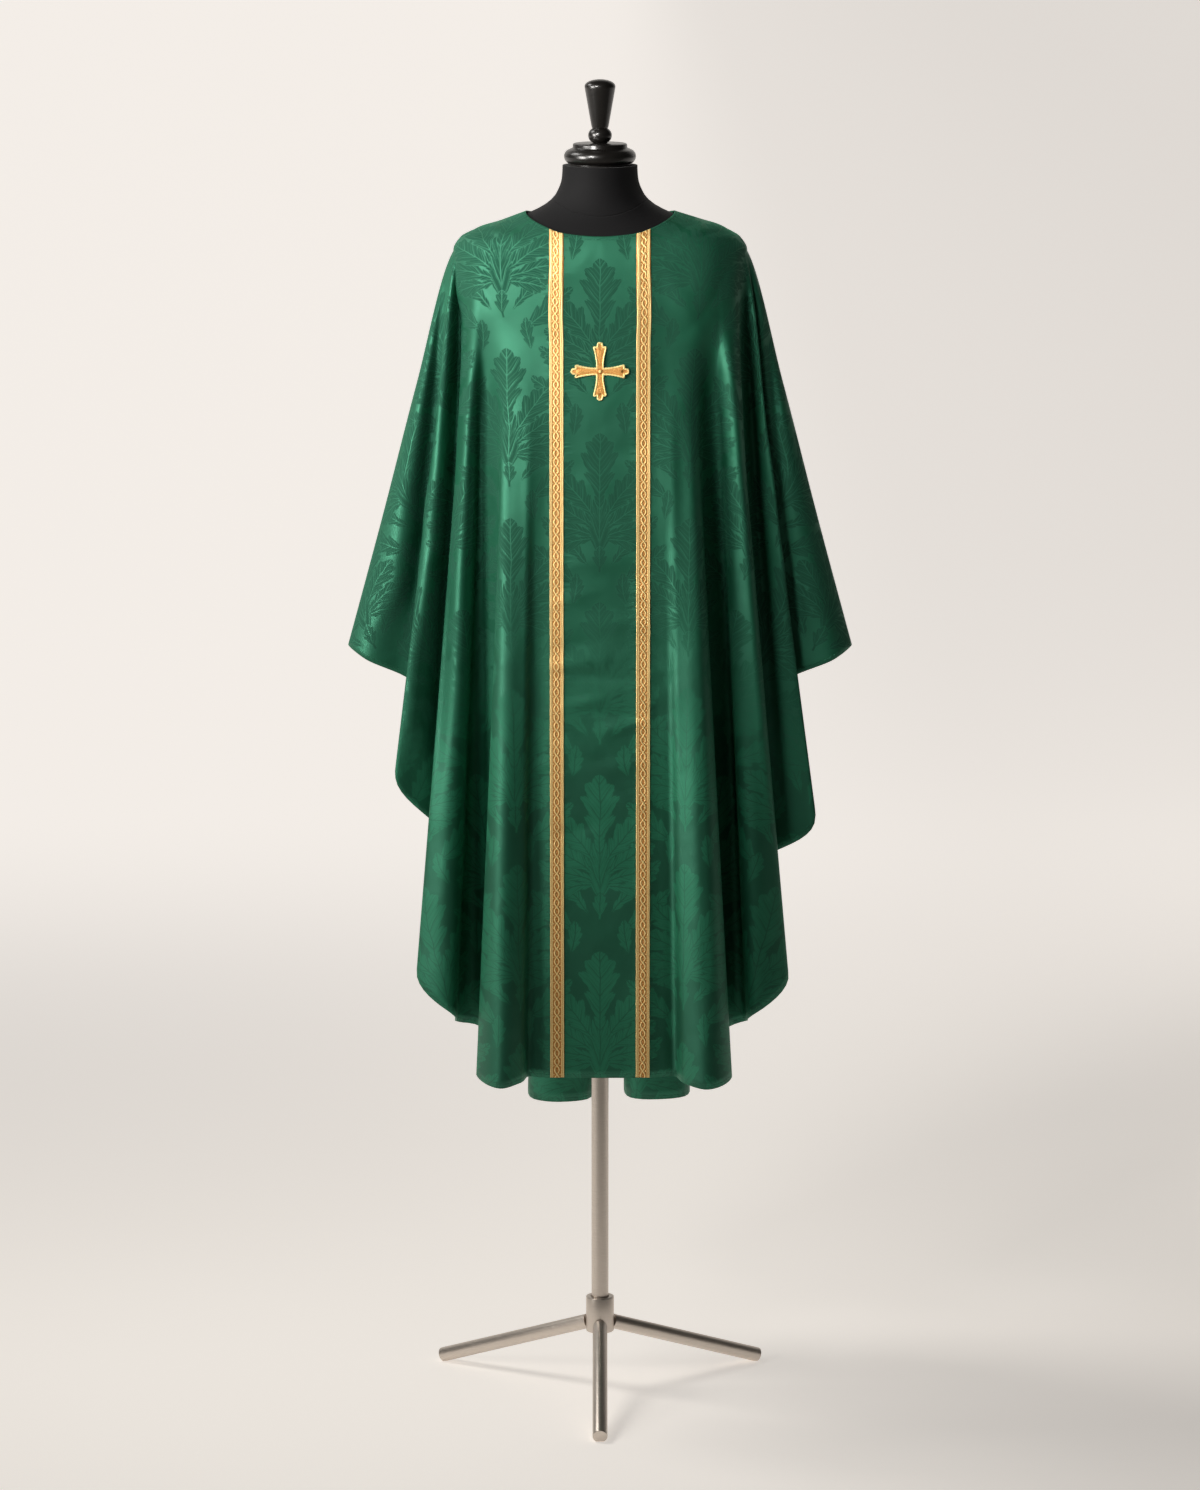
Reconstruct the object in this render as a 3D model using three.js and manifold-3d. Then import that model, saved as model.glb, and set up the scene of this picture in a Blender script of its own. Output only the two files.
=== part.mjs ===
// A gothic chasuble of green damask with two gold galloons and a gold cross, worn by a dress form
// with a turned neck cap and finial, on a steel pole, hub and three legs.
// Millimetres, +Z up, front towards -Y. The origin is on the pole's axis, at floor level.
import * as THREE from "three";
import { mergeVertices } from "three/addons/utils/BufferGeometryUtils.js";
import Module from "manifold-3d";

const wasm = await Module();
wasm.setup();

// Driving dimensions of the garment
const CLOTH_WALL = 2;
const SEAM_GAP = 0.3;
const EASE = 2.3; // from the form's skin to the middle of the cloth wall
const NECK = { half: 107.5, front: 95, back: 76, square: 2.6 };
const GALLOON = { thick: 1.4, lift: 0.6, endInset: 1.2 };
const CROSS = { z: 1556, reach: 42.2, waist: 4.9, flare: 9.7, shoulder: 34.5, nub: 4.5, thick: 1.8, lift: 0.6, bevel: 0.7 };

// Driving dimensions of the stand
const POLE = { radius: 12.7, top: 929.7, bottom: 98.3 };
const HUB = { radius: 21, bore: 13.4, bottom: 88, top: 142, floor: 98 };
const LEG = { radius: 11, count: 3, rootZ: 107, reach: 279, slope: 19.5, gap: 0.4 };
const FORM_BOTTOM = 930;
const CAP = { seat: 1843.3, radius: 52.3, plate: 39.5 };
const FINIAL_SEAT = 1875;

// The dress form's level sections, from the neck's top to the base: half width, depth in front of
// and behind the pole's axis, and the power of its superellipse (2 is an ellipse).
const FORM_SECTIONS = [
  { z: 1843, side: 54.5, front: 56, back: 54, square: 2 },
  { z: 1825, side: 55.5, front: 57, back: 55, square: 2 },
  { z: 1800, side: 65, front: 62, back: 60, square: 2 },
  { z: 1786, side: 80, front: 67, back: 64, square: 2 },
  { z: 1773, side: 106, front: 74, back: 70, square: 2 },
  { z: 1760, side: 141, front: 83, back: 77, square: 2.1 },
  { z: 1743, side: 188, front: 94, back: 86, square: 2.2 },
  { z: 1736, side: 200, front: 97, back: 89, square: 2.3 },
  { z: 1718, side: 210.5, front: 103, back: 96, square: 2.3 },
  { z: 1680, side: 211, front: 110, back: 104, square: 2.3 },
  { z: 1620, side: 200, front: 115, back: 110, square: 2.3 },
  { z: 1540, side: 183, front: 115, back: 109, square: 2.3 },
  { z: 1400, side: 163, front: 104, back: 99, square: 2.3 },
  { z: 1270, side: 156, front: 96, back: 94, square: 2.3 },
  { z: 1120, side: 168, front: 101, back: 101, square: 2.3 },
  { z: 1000, side: 172, front: 103, back: 103, square: 2.3 },
  { z: 930, side: 168, front: 100, back: 100, square: 2.3 },
];

// Fall lines of the cloth, each from the neck edge over the shoulder and straight down to the hem.
// neckX is on the neck edge and rimX, rimZ where the line leaves the form. The hem's end is at y,
// with x and z for the wearer's left (+X) and right (-X). Columns run to the next line.
const FRONT_LINES = [
  { line: "centre", neckX: 0, rimX: 0, rimZ: 1600, x: 0, z: 520, otherX: 0, otherZ: 520, y: -165, columns: 2 },
  { line: "galloonInner", neckX: 52.3, rimX: 52.3, rimZ: 1600, x: 52.3, z: 520, otherX: 52.3, otherZ: 520, y: -165, columns: 1 },
  { line: "galloonOuter", neckX: 72.8, rimX: 72.8, rimZ: 1600, x: 72.8, z: 520, otherX: 72.8, otherZ: 520, y: -165, columns: 2 },
  { line: "recess", neckX: 82, rimX: 92, rimZ: 1602, x: 108, z: 521, otherX: 104, otherZ: 521, y: -150, columns: 1 },
  { line: "firstInner", neckX: 88, rimX: 104, rimZ: 1605, x: 124, z: 517, otherX: 116, otherZ: 519, y: -186, columns: 2 },
  { line: "firstCrest", neckX: 92.5, rimX: 116, rimZ: 1610, x: 158, z: 513, otherX: 147, otherZ: 514, y: -208, columns: 2 },
  { line: "firstOuter", neckX: 96.5, rimX: 130, rimZ: 1620, x: 193, z: 522, otherX: 181, otherZ: 522, y: -176, columns: 3 },
  { line: "deepInner", neckX: 99.5, rimX: 148, rimZ: 1640, x: 148, z: 560, otherX: 143, otherZ: 562, y: -98, columns: 2 },
  { line: "deepOuter", neckX: 102, rimX: 162, rimZ: 1665, x: 214, z: 580, otherX: 210, otherZ: 580, y: -72, columns: 2 },
  { line: "secondInner", neckX: 103.8, rimX: 172, rimZ: 1685, x: 219, z: 600, otherX: 214, otherZ: 603, y: -130, columns: 2 },
  { line: "secondOuter", neckX: 105.3, rimX: 183, rimZ: 1700, x: 277, z: 655, otherX: 269, otherZ: 658, y: -104, columns: 3 },
  { line: "gapInner", neckX: 106.3, rimX: 196, rimZ: 1706, x: 205, z: 795, otherX: 205, otherZ: 822, y: -34, columns: 3 },
  { line: "thirdOuter", neckX: 107, rimX: 207, rimZ: 1712, x: 316, z: 880, otherX: 301, otherZ: 948, y: -62, columns: 3 },
  { line: "gapOuter", neckX: 107.3, rimX: 209.5, rimZ: 1715, x: 252, z: 1064, otherX: 252, otherZ: 1064, y: -18, columns: 3 },
  { line: "sleeveFront", neckX: 107.4, rimX: 211.8, rimZ: 1717, x: 345, z: 1121, otherX: 345, otherZ: 1121, y: -34, columns: 2 },
];
const SIDE_LINE = { line: "side", neckX: 107.5, rimX: 230, rimZ: 1718, x: 371, z: 1136, otherX: 371, otherZ: 1136, y: 4, columns: 2 };
const BACK_LINES = [
  { line: "centre", neckX: 0, rimX: 0, rimZ: 1650, x: 16, z: 431, otherX: -16, otherZ: 431, y: 243, columns: 1 },
  { line: "centreCrest", neckX: 16, rimX: 18, rimZ: 1650, x: 34, z: 430, otherX: 6, otherZ: 430, y: 224, columns: 2 },
  { line: "hollowInner", neckX: 38, rimX: 46, rimZ: 1650, x: 47, z: 421, otherX: 20, otherZ: 418, y: 114, columns: 2 },
  { line: "hollowOuter", neckX: 60, rimX: 76, rimZ: 1650, x: 128, z: 422, otherX: 100, otherZ: 418, y: 116, columns: 2 },
  { line: "firstInner", neckX: 75, rimX: 94, rimZ: 1650, x: 136, z: 434, otherX: 112, otherZ: 434, y: 238, columns: 2 },
  { line: "firstCrest", neckX: 84, rimX: 110, rimZ: 1655, x: 164, z: 448, otherX: 148, otherZ: 448, y: 270, columns: 2 },
  { line: "firstOuter", neckX: 92, rimX: 130, rimZ: 1660, x: 190, z: 466, otherX: 180, otherZ: 468, y: 226, columns: 2 },
  { line: "deep", neckX: 97, rimX: 148, rimZ: 1675, x: 150, z: 520, otherX: 146, otherZ: 522, y: 134, columns: 2 },
  { line: "secondInner", neckX: 101, rimX: 166, rimZ: 1690, x: 206, z: 575, otherX: 202, otherZ: 580, y: 190, columns: 2 },
  { line: "secondOuter", neckX: 104, rimX: 182, rimZ: 1700, x: 254, z: 625, otherX: 246, otherZ: 630, y: 166, columns: 2 },
  { line: "gapInner", neckX: 105.8, rimX: 194, rimZ: 1706, x: 206, z: 770, otherX: 204, otherZ: 790, y: 88, columns: 2 },
  { line: "thirdOuter", neckX: 106.8, rimX: 206, rimZ: 1712, x: 297, z: 868, otherX: 284, otherZ: 915, y: 116, columns: 2 },
  { line: "gapOuter", neckX: 107.3, rimX: 209.5, rimZ: 1715, x: 260, z: 1060, otherX: 260, otherZ: 1060, y: 42, columns: 2 },
  { line: "sleeveBack", neckX: 107.4, rimX: 211.8, rimZ: 1717, x: 345, z: 1118, otherX: 345, otherZ: 1118, y: 46, columns: 2 },
];
// How far a sleeve line bows out over a straight fall, one third and two thirds of the way down
const SLEEVE_BOW = [2, 0];
// Rows of the cloth grid along each stretch of a fall line, from the neck edge to the hem
const ROWS_PER_STRETCH = [2, 3, 3, 5, 4, 5];

// A table's column at height z, smooth between its rows and never beyond them.
function profile(rows, key, z) {
  let i = 0;
  while (i < rows.length - 2 && rows[i + 1].z > z) i++;
  const slope = (k) => (rows[k + 1][key] - rows[k][key]) / (rows[k + 1].z - rows[k].z);
  const tangent = (k) => {
    if (k === 0 || k === rows.length - 1) return 0;
    const [before, after] = [slope(k - 1), slope(k)];
    return before * after > 0 ? (2 * before * after) / (before + after) : 0;
  };
  const span = rows[i + 1].z - rows[i].z;
  const t = THREE.MathUtils.clamp((z - rows[i].z) / span, 0, 1);
  const [a, b] = [rows[i][key], rows[i + 1][key]];
  const bend = (a - b) * (2 * t - 3) * t * t + a;
  return bend + span * t * (1 - t) * ((1 - t) * tangent(i) - t * tangent(i + 1));
}

// The form's section at height z, grown outwards: its half width, its depth and its power.
function sectionAt(z, behind, grow) {
  const side = profile(FORM_SECTIONS, "side", z) + grow;
  const depth = profile(FORM_SECTIONS, behind ? "back" : "front", z) + grow;
  return { side, depth, square: profile(FORM_SECTIONS, "square", z) };
}

// How deep a superellipse is at x, as a share of its depth.
function depthShare(x, side, square) {
  return Math.pow(Math.max(0, 1 - Math.pow(Math.min(1, Math.abs(x) / side), square)), 1 / square);
}

// The height of the cloth over the form at a place seen from above.
function clothHeight(x, y) {
  let [low, high] = [1500, 1830];
  for (let i = 0; i < 40; i++) {
    const z = (low + high) / 2;
    const { side, depth, square } = sectionAt(z, y > 0, EASE);
    const outside = Math.pow(Math.abs(x) / side, square) + Math.pow(Math.abs(y) / depth, square) > 1;
    if (outside) high = z;
    else low = z;
  }
  return low + EASE;
}

// One fall line as a smooth curve. The hand is 1 on the wearer's left (+X) and -1 on the right.
function fallLine(row, hand, behind) {
  const facing = behind ? 1 : -1;
  const neckDepth = behind ? NECK.back : NECK.front;
  const neck = [row.neckX, neckDepth * depthShare(row.neckX, NECK.half, NECK.square)];
  const rimSection = sectionAt(row.rimZ - EASE, behind, EASE);
  const rimX = Math.min(row.rimX, rimSection.side);
  const rim = [rimX, rimSection.depth * depthShare(rimX, rimSection.side, rimSection.square)];
  const place = (x, y, z) => new THREE.Vector3(hand * x, facing * y, z);
  const points = [];
  for (const share of [0, 0.36, 0.72]) {
    const [x, y] = [0, 1].map((k) => neck[k] + (rim[k] - neck[k]) * share);
    points.push(place(x, y, clothHeight(x, facing * y)));
  }
  points.push(place(rim[0], rim[1], row.rimZ));
  const hem = hand > 0 ? place(row.x, facing * row.y, row.z) : place(row.otherX, facing * row.y, row.otherZ);
  const width = Math.abs(hem.x) / SIDE_LINE.x;
  [...SLEEVE_BOW, 0].forEach((bow, k) => {
    const point = points[3].clone().lerp(hem, (k + 1) / 3);
    points.push(point.setX(point.x + hand * bow * width * width));
  });
  return new THREE.CatmullRomCurve3(points, false, "centripetal");
}

// The fall lines all round, from the centre front by the wearer's left side and the back.
function allFallLines() {
  const lines = [];
  const add = (row, hand, behind, columns) => lines.push({ curve: fallLine(row, hand, behind), columns });
  const last = FRONT_LINES.length - 1;
  FRONT_LINES.forEach((row) => add(row, 1, false, row.columns));
  add(SIDE_LINE, 1, true, BACK_LINES.at(-1).columns);
  for (let i = BACK_LINES.length - 1; i >= 0; i--) add(BACK_LINES[i], 1, true, BACK_LINES[Math.max(i - 1, 0)].columns);
  for (let i = 1; i < BACK_LINES.length; i++) add(BACK_LINES[i], -1, true, BACK_LINES[i].columns);
  add(SIDE_LINE, -1, true, FRONT_LINES[last].columns);
  for (let i = last; i > 0; i--) add(FRONT_LINES[i], -1, false, FRONT_LINES[i - 1].columns);
  return lines;
}

// Moves a point of the cloth out to the form's skin where it would lie inside it.
function clearOfForm(point) {
  const { side, depth, square } = sectionAt(Math.min(point.z - EASE, FORM_SECTIONS[0].z), point.y > 0, EASE);
  const inside = Math.pow(Math.abs(point.x) / side, square) + Math.pow(Math.abs(point.y) / depth, square);
  if (point.z < FORM_BOTTOM - 60 || inside >= 1) return point;
  const scale = Math.pow(inside, -1 / square);
  return new THREE.Vector3(point.x * scale, point.y * scale, point.z);
}

// The middle of the cloth as a grid: rows from the neck edge to the hem, each a closed ring.
function clothGrid() {
  const lines = allFallLines();
  const shares = [0];
  ROWS_PER_STRETCH.forEach((count, stretch) => {
    for (let k = 1; k <= count; k++) shares.push((stretch + k / count) / ROWS_PER_STRETCH.length);
  });
  const starts = [];
  const rows = shares.map((share) => {
    const knots = lines.map(({ curve }) => curve.getPoint(share));
    const ring = new THREE.CatmullRomCurve3(knots, true, "centripetal");
    const points = [];
    lines.forEach(({ columns }, i) => {
      starts[i] = points.length;
      for (let k = 0; k < columns; k++) points.push(clearOfForm(ring.getPoint((i + k / columns) / lines.length)));
    });
    return points;
  });
  return { rows, starts, sideLeft: starts[FRONT_LINES.length], sideRight: starts[lines.length - FRONT_LINES.length] };
}

// Unit normals of the grid, pointing out of the garment.
function gridNormals(rows) {
  const count = rows[0].length;
  return rows.map((row, j) =>
    row.map((_, i) => {
      const across = row[(i + 1) % count].clone().sub(row[(i + count - 1) % count]);
      const down = rows[Math.min(j + 1, rows.length - 1)][i].clone().sub(rows[Math.max(j - 1, 0)][i]);
      return down.cross(across).normalize();
    }),
  );
}

// A closed wall between two grids of points, the outer one first.
function wallGeometry(outer, inner) {
  const [rowCount, columnCount] = [outer.length, outer[0].length];
  const positions = [...outer.flat(), ...inner.flat()].flatMap((p) => p.toArray());
  const front = (j, i) => j * columnCount + i;
  const rear = (j, i) => front(j, i) + rowCount * columnCount;
  const faces = [];
  const quad = (a, b, c, d) => faces.push(a, b, c, a, c, d);
  for (let j = 0; j < rowCount - 1; j++) {
    for (let i = 0; i < columnCount - 1; i++) {
      quad(front(j, i), front(j + 1, i), front(j + 1, i + 1), front(j, i + 1));
      quad(rear(j, i), rear(j, i + 1), rear(j + 1, i + 1), rear(j + 1, i));
    }
    quad(front(j, 0), rear(j, 0), rear(j + 1, 0), front(j + 1, 0));
    const end = columnCount - 1;
    quad(front(j, end), front(j + 1, end), rear(j + 1, end), rear(j, end));
  }
  for (let i = 0; i < columnCount - 1; i++) {
    quad(front(0, i), front(0, i + 1), rear(0, i + 1), rear(0, i));
    const hem = rowCount - 1;
    quad(front(hem, i), rear(hem, i), rear(hem, i + 1), front(hem, i + 1));
  }
  const geometry = new THREE.BufferGeometry();
  geometry.setAttribute("position", new THREE.Float32BufferAttribute(positions, 3));
  geometry.setIndex(faces);
  geometry.computeVertexNormals();
  return geometry;
}

// The stretch of the grid from one column to another, moved along its normals.
function shifted(grid, normals, from, to, distance) {
  const count = grid.rows[0].length;
  const length = (to - from + count) % count;
  return grid.rows.map((row, j) =>
    Array.from({ length: length + 1 }, (_, k) => {
      const i = (from + k) % count;
      return row[i].clone().addScaledVector(normals[j][i], distance);
    }),
  );
}

// Draws both side edges of a grid in by a distance, so that two panels keep a gap at their seam.
function drawnIn(rows, distance) {
  for (const row of rows) {
    const end = row.length - 1;
    const moved = [[0, 1], [end, end - 1]].map(([edge, next]) => {
      const inwards = row[next].clone().sub(row[edge]);
      return row[edge].clone().addScaledVector(inwards.normalize(), distance);
    });
    row[0] = moved[0];
    row[end] = moved[1];
  }
  return rows;
}

function panelGeometry(grid, normals, from, to) {
  const half = CLOTH_WALL / 2;
  const layers = [half, -half].map((side) => drawnIn(shifted(grid, normals, from, to, side), SEAM_GAP * 0.6));
  return wallGeometry(...layers);
}

// A galloon lies on the front between two of its columns, a little short of the neck edge and hem.
function galloonGeometry(grid, normals, from, to) {
  const low = CLOTH_WALL / 2 + GALLOON.lift;
  const layers = [low + GALLOON.thick, low].map((side) => {
    const rows = shifted(grid, normals, from, to, side);
    const last = rows.length - 1;
    for (const [edge, next] of [[0, 1], [last, last - 1]]) {
      rows[edge] = rows[edge].map((p, i) => {
        const inwards = rows[next][i].clone().sub(p);
        return p.clone().addScaledVector(inwards.normalize(), GALLOON.endInset);
      });
    }
    return rows;
  });
  return wallGeometry(...layers);
}

// One arm of the cross, from its right inner corner round the tip to its left inner corner.
function armOutline() {
  const { reach, waist, flare, shoulder, nub } = CROSS;
  const side = [];
  for (const share of [0, 0.25, 0.5, 0.75, 1]) {
    side.push([waist + (flare - waist) * share ** 1.7, waist + (shoulder - waist) * share]);
  }
  side.push([flare * 0.86, shoulder + 1.6], [nub, shoulder + 0.6]);
  const tip = [];
  for (let step = 1; step < 6; step++) {
    const angle = (step / 6) * Math.PI;
    tip.push([nub * Math.cos(angle), reach - nub + nub * Math.sin(angle)]);
  }
  return [...side, ...tip, ...side.reverse().map(([x, y]) => [-x, y])];
}

// The embroidered cross, bent to lie on the cloth's centre front.
function crossGeometry(grid) {
  const outline = [];
  for (let arm = 0; arm < 4; arm++) {
    const turn = (arm * Math.PI) / 2;
    armOutline().slice(0, -1).forEach(([x, y]) => {
      outline.push(new THREE.Vector2(x, y).rotateAround(new THREE.Vector2(), turn));
    });
  }
  const plate = new THREE.ExtrudeGeometry(new THREE.Shape(outline), {
    depth: CROSS.thick - CROSS.bevel, bevelEnabled: true, bevelSegments: 1,
    bevelThickness: CROSS.bevel, bevelSize: CROSS.bevel, bevelOffset: -CROSS.bevel,
  });
  const centre = grid.rows.map((row) => row[0]);
  const place = plate.getAttribute("position");
  for (let i = 0; i < place.count; i++) {
    const z = CROSS.z + place.getY(i);
    const below = centre.findIndex((p) => p.z < z);
    const [a, b] = [centre[below - 1], centre[below]];
    const y = THREE.MathUtils.mapLinear(z, a.z, b.z, a.y, b.y);
    const out = place.getZ(i) + CROSS.bevel + CLOTH_WALL / 2 + CROSS.lift;
    place.setXYZ(i, place.getX(i), y - out, z);
  }
  plate.computeVertexNormals();
  return plate;
}

// The dress form, a smooth closed loft through its sections.
function formGeometry() {
  const around = 32;
  const heights = [];
  FORM_SECTIONS.forEach(({ z }, i) => {
    heights.push(z);
    const next = FORM_SECTIONS[i + 1];
    if (next && next.z > 1700 && z < 1830) heights.push((z + next.z) / 2);
  });
  const positions = [];
  for (const z of heights) {
    for (let k = 0; k < around; k++) {
      const angle = (k / around) * 2 * Math.PI;
      const [s, c] = [Math.sin(angle), -Math.cos(angle)];
      const { side, depth, square } = sectionAt(z, c > 0, 0);
      const round = (value) => Math.sign(value) * Math.abs(value) ** (2 / square);
      positions.push(side * round(s), depth * round(c), z);
    }
  }
  const faces = [];
  for (let j = 0; j < heights.length - 1; j++) {
    for (let k = 0; k < around; k++) {
      const next = (k + 1) % around;
      const [a, b] = [j * around + k, j * around + next];
      faces.push(a, a + around, b + around, a, b + around, b);
    }
  }
  const top = positions.length / 3;
  positions.push(0, 0, heights[0], 0, 0, FORM_BOTTOM);
  const base = (heights.length - 1) * around;
  for (let k = 0; k < around; k++) {
    const next = (k + 1) % around;
    faces.push(top, k, next, top + 1, base + next, base + k);
  }
  const geometry = new THREE.BufferGeometry();
  geometry.setAttribute("position", new THREE.Float32BufferAttribute(positions, 3));
  geometry.setIndex(faces);
  geometry.computeVertexNormals();
  return geometry;
}

// A turned piece about the pole's axis from [radius, z] pairs that start and end on the axis.
function turned(profilePoints, segments = 24) {
  const points = profilePoints.map(([radius, z]) => new THREE.Vector2(radius, z));
  const geometry = new THREE.LatheGeometry(points, segments);
  geometry.rotateX(Math.PI / 2);
  return geometry;
}

function capGeometry() {
  const { seat, radius, plate } = CAP;
  const rim = [[-78, 0.3], [-40, 0.62], [0, 1], [35, 1], [62, 1]].map(([degrees]) => {
    const angle = THREE.MathUtils.degToRad(degrees);
    return [radius - 9.5 + 9.5 * Math.cos(angle), seat + 12.4 + 10.4 * Math.sin(angle)];
  });
  return turned([[0, seat], [radius - 6, seat], ...rim, [plate, seat + 26], [plate, seat + 29.6], [plate - 2, seat + 31.4], [0, seat + 31.4]]);
}

function finialGeometry() {
  const bead = [-58, -25, 8, 40, 66].map((degrees) => {
    const angle = THREE.MathUtils.degToRad(degrees);
    return [7 + 10.2 * Math.cos(angle), FINIAL_SEAT + 11 + 11 * Math.sin(angle)];
  });
  const foot = FINIAL_SEAT;
  return turned([
    [0, foot], [10.5, foot], ...bead, [12.2, foot + 23], [13.2, foot + 27], [22.2, foot + 79.5],
    [22.4, foot + 82.5], [20, foot + 86.6], [13.5, foot + 90.2], [0, foot + 92.1],
  ]);
}

function hubGeometry() {
  const { radius, bore, bottom, top, floor } = HUB;
  const edge = 1.6;
  return turned([
    [0, bottom], [radius - edge, bottom], [radius, bottom + edge], [radius, top - edge], [radius - edge, top],
    [bore + edge, top], [bore, top - edge], [bore, floor], [0, floor],
  ], 32);
}

// A closed geometry as a solid for joining and cutting.
function solidOf(geometry) {
  const bare = geometry.index ? geometry.toNonIndexed() : geometry.clone();
  for (const name of ["normal", "uv"]) bare.deleteAttribute(name);
  const merged = mergeVertices(bare, 1e-3);
  return new wasm.Manifold(new wasm.Mesh({
    numProp: 3,
    vertProperties: merged.getAttribute("position").array,
    triVerts: new Uint32Array(merged.index.array),
  }));
}

function geometryOf(solid) {
  const { vertProperties, triVerts, numProp } = solid.getMesh();
  const geometry = new THREE.BufferGeometry();
  const positions = [];
  for (let i = 0; i < vertProperties.length; i += numProp) positions.push(...vertProperties.subarray(i, i + 3));
  geometry.setAttribute("position", new THREE.Float32BufferAttribute(positions, 3));
  geometry.setIndex([...triVerts]);
  geometry.computeVertexNormals();
  return geometry;
}

// A leg along +X from the pole's axis, sloping down to a foot that is cut flat at the floor.
function legGeometry() {
  const { radius, rootZ, reach, slope, gap } = LEG;
  const tilt = THREE.MathUtils.degToRad(slope);
  const length = reach / Math.cos(tilt);
  const bevel = 1.2;
  const tube = turned([[0, 0], [radius, 0], [radius, length - bevel], [radius - bevel, length], [0, length]], 24);
  tube.rotateY(Math.PI / 2 + tilt);
  tube.translate(0, 0, rootZ);
  const clearance = new THREE.CylinderGeometry(HUB.radius + gap, HUB.radius + gap, 200, 32);
  clearance.rotateX(Math.PI / 2);
  clearance.translate(0, 0, rootZ);
  const floorBlock = new THREE.BoxGeometry(2 * reach, 100, 100);
  floorBlock.translate(reach, 0, -50);
  return geometryOf(solidOf(tube).subtract(solidOf(clearance)).subtract(solidOf(floorBlock)));
}

function material(color, roughness, metalness) {
  return new THREE.MeshStandardMaterial({ color, roughness, metalness });
}
const GREEN_DAMASK = material(0x1c5b42, 0.5, 0);
const GOLD_BRAID = material(0xc79a54, 0.45, 0.5);
const BLACK_JERSEY = material(0x1d1c1f, 0.85, 0);
const BLACK_LACQUER = material(0x121110, 0.3, 0);
const BRUSHED_STEEL = material(0xa79d92, 0.35, 0.9);

const chasuble = new THREE.Group();

function addPiece(name, geometry, finish) {
  const piece = new THREE.Mesh(geometry, finish);
  piece.name = name;
  chasuble.add(piece);
  return piece;
}

function addGarment() {
  const grid = clothGrid();
  const normals = gridNormals(grid.rows);
  const count = grid.rows[0].length;
  addPiece("chasuble_front", panelGeometry(grid, normals, grid.sideRight, grid.sideLeft), GREEN_DAMASK);
  addPiece("chasuble_back", panelGeometry(grid, normals, grid.sideLeft, grid.sideRight), GREEN_DAMASK);
  const [inner, outer] = [grid.starts[1], grid.starts[2]];
  addPiece("galloon_left", galloonGeometry(grid, normals, inner, outer), GOLD_BRAID);
  addPiece("galloon_right", galloonGeometry(grid, normals, count - outer, count - inner), GOLD_BRAID);
  addPiece("cross", crossGeometry(grid), GOLD_BRAID);
}

function addStand() {
  addPiece("form_body", formGeometry(), BLACK_JERSEY);
  addPiece("neck_cap", capGeometry(), BLACK_LACQUER);
  addPiece("finial", finialGeometry(), BLACK_LACQUER);
  const { radius, top, bottom } = POLE;
  addPiece("pole", turned([[0, bottom], [radius, bottom], [radius, top], [0, top]], 32), BRUSHED_STEEL);
  addPiece("hub", hubGeometry(), BRUSHED_STEEL);
  ["leg_front", "leg_left", "leg_right"].forEach((name, i) => {
    const leg = addPiece(name, legGeometry(), BRUSHED_STEEL);
    leg.rotation.z = -Math.PI / 2 + (i * 2 * Math.PI) / LEG.count;
  });
}

addGarment();
addStand();
export default chasuble;
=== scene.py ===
import math
import bpy
import bmesh
import numpy as np
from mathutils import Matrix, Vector


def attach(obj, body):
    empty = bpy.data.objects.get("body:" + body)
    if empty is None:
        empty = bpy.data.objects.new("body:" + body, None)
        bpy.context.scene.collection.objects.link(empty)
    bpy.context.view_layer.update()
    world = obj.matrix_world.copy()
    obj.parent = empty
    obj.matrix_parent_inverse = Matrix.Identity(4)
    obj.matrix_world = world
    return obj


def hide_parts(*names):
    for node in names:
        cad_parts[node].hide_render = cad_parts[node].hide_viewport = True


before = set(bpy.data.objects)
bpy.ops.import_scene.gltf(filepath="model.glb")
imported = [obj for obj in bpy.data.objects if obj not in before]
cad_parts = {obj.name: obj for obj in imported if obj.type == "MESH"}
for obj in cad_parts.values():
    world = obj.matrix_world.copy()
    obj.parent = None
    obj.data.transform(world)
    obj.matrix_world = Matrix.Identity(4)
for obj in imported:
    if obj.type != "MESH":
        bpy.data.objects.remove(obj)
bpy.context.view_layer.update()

MM = 0.001


# A short table as one dict for each row
def table(columns, rows):
    return [dict(zip(columns, row)) for row in rows]


# Camera: a long lens 8.4 m away, looking down 10.5 degrees at the middle of the part
def add_camera():
    tilt, distance, aim_height = math.radians(10.5), 8.4, 0.986
    data = bpy.data.cameras.new("camera")
    data.lens = 137.1
    data.sensor_width = 36
    data.clip_end = 60
    camera = bpy.data.objects.new("camera", data)
    bpy.context.collection.objects.link(camera)
    camera.location = (0, -distance * math.cos(tilt), aim_height + distance * math.sin(tilt))
    camera.rotation_euler = (math.radians(90) - tilt, 0, 0)
    bpy.context.scene.camera = camera


add_camera()

# The form's level sections: height, half width, depth in front and behind, superellipse power
FORM_SECTIONS = table(("z", "side", "front", "back", "square"), (
    (1843, 54.5, 56, 54, 2),
    (1825, 55.5, 57, 55, 2),
    (1800, 65, 62, 60, 2),
    (1786, 80, 67, 64, 2),
    (1773, 106, 74, 70, 2),
    (1760, 141, 83, 77, 2.1),
    (1743, 188, 94, 86, 2.2),
    (1736, 200, 97, 89, 2.3),
    (1718, 210.5, 103, 96, 2.3),
    (1680, 211, 110, 104, 2.3),
    (1620, 200, 115, 110, 2.3),
    (1540, 183, 115, 109, 2.3),
    (1400, 163, 104, 99, 2.3),
    (1270, 156, 96, 94, 2.3),
    (1120, 168, 101, 101, 2.3),
    (1000, 172, 103, 103, 2.3),
    (930, 168, 100, 100, 2.3),
))
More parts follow.
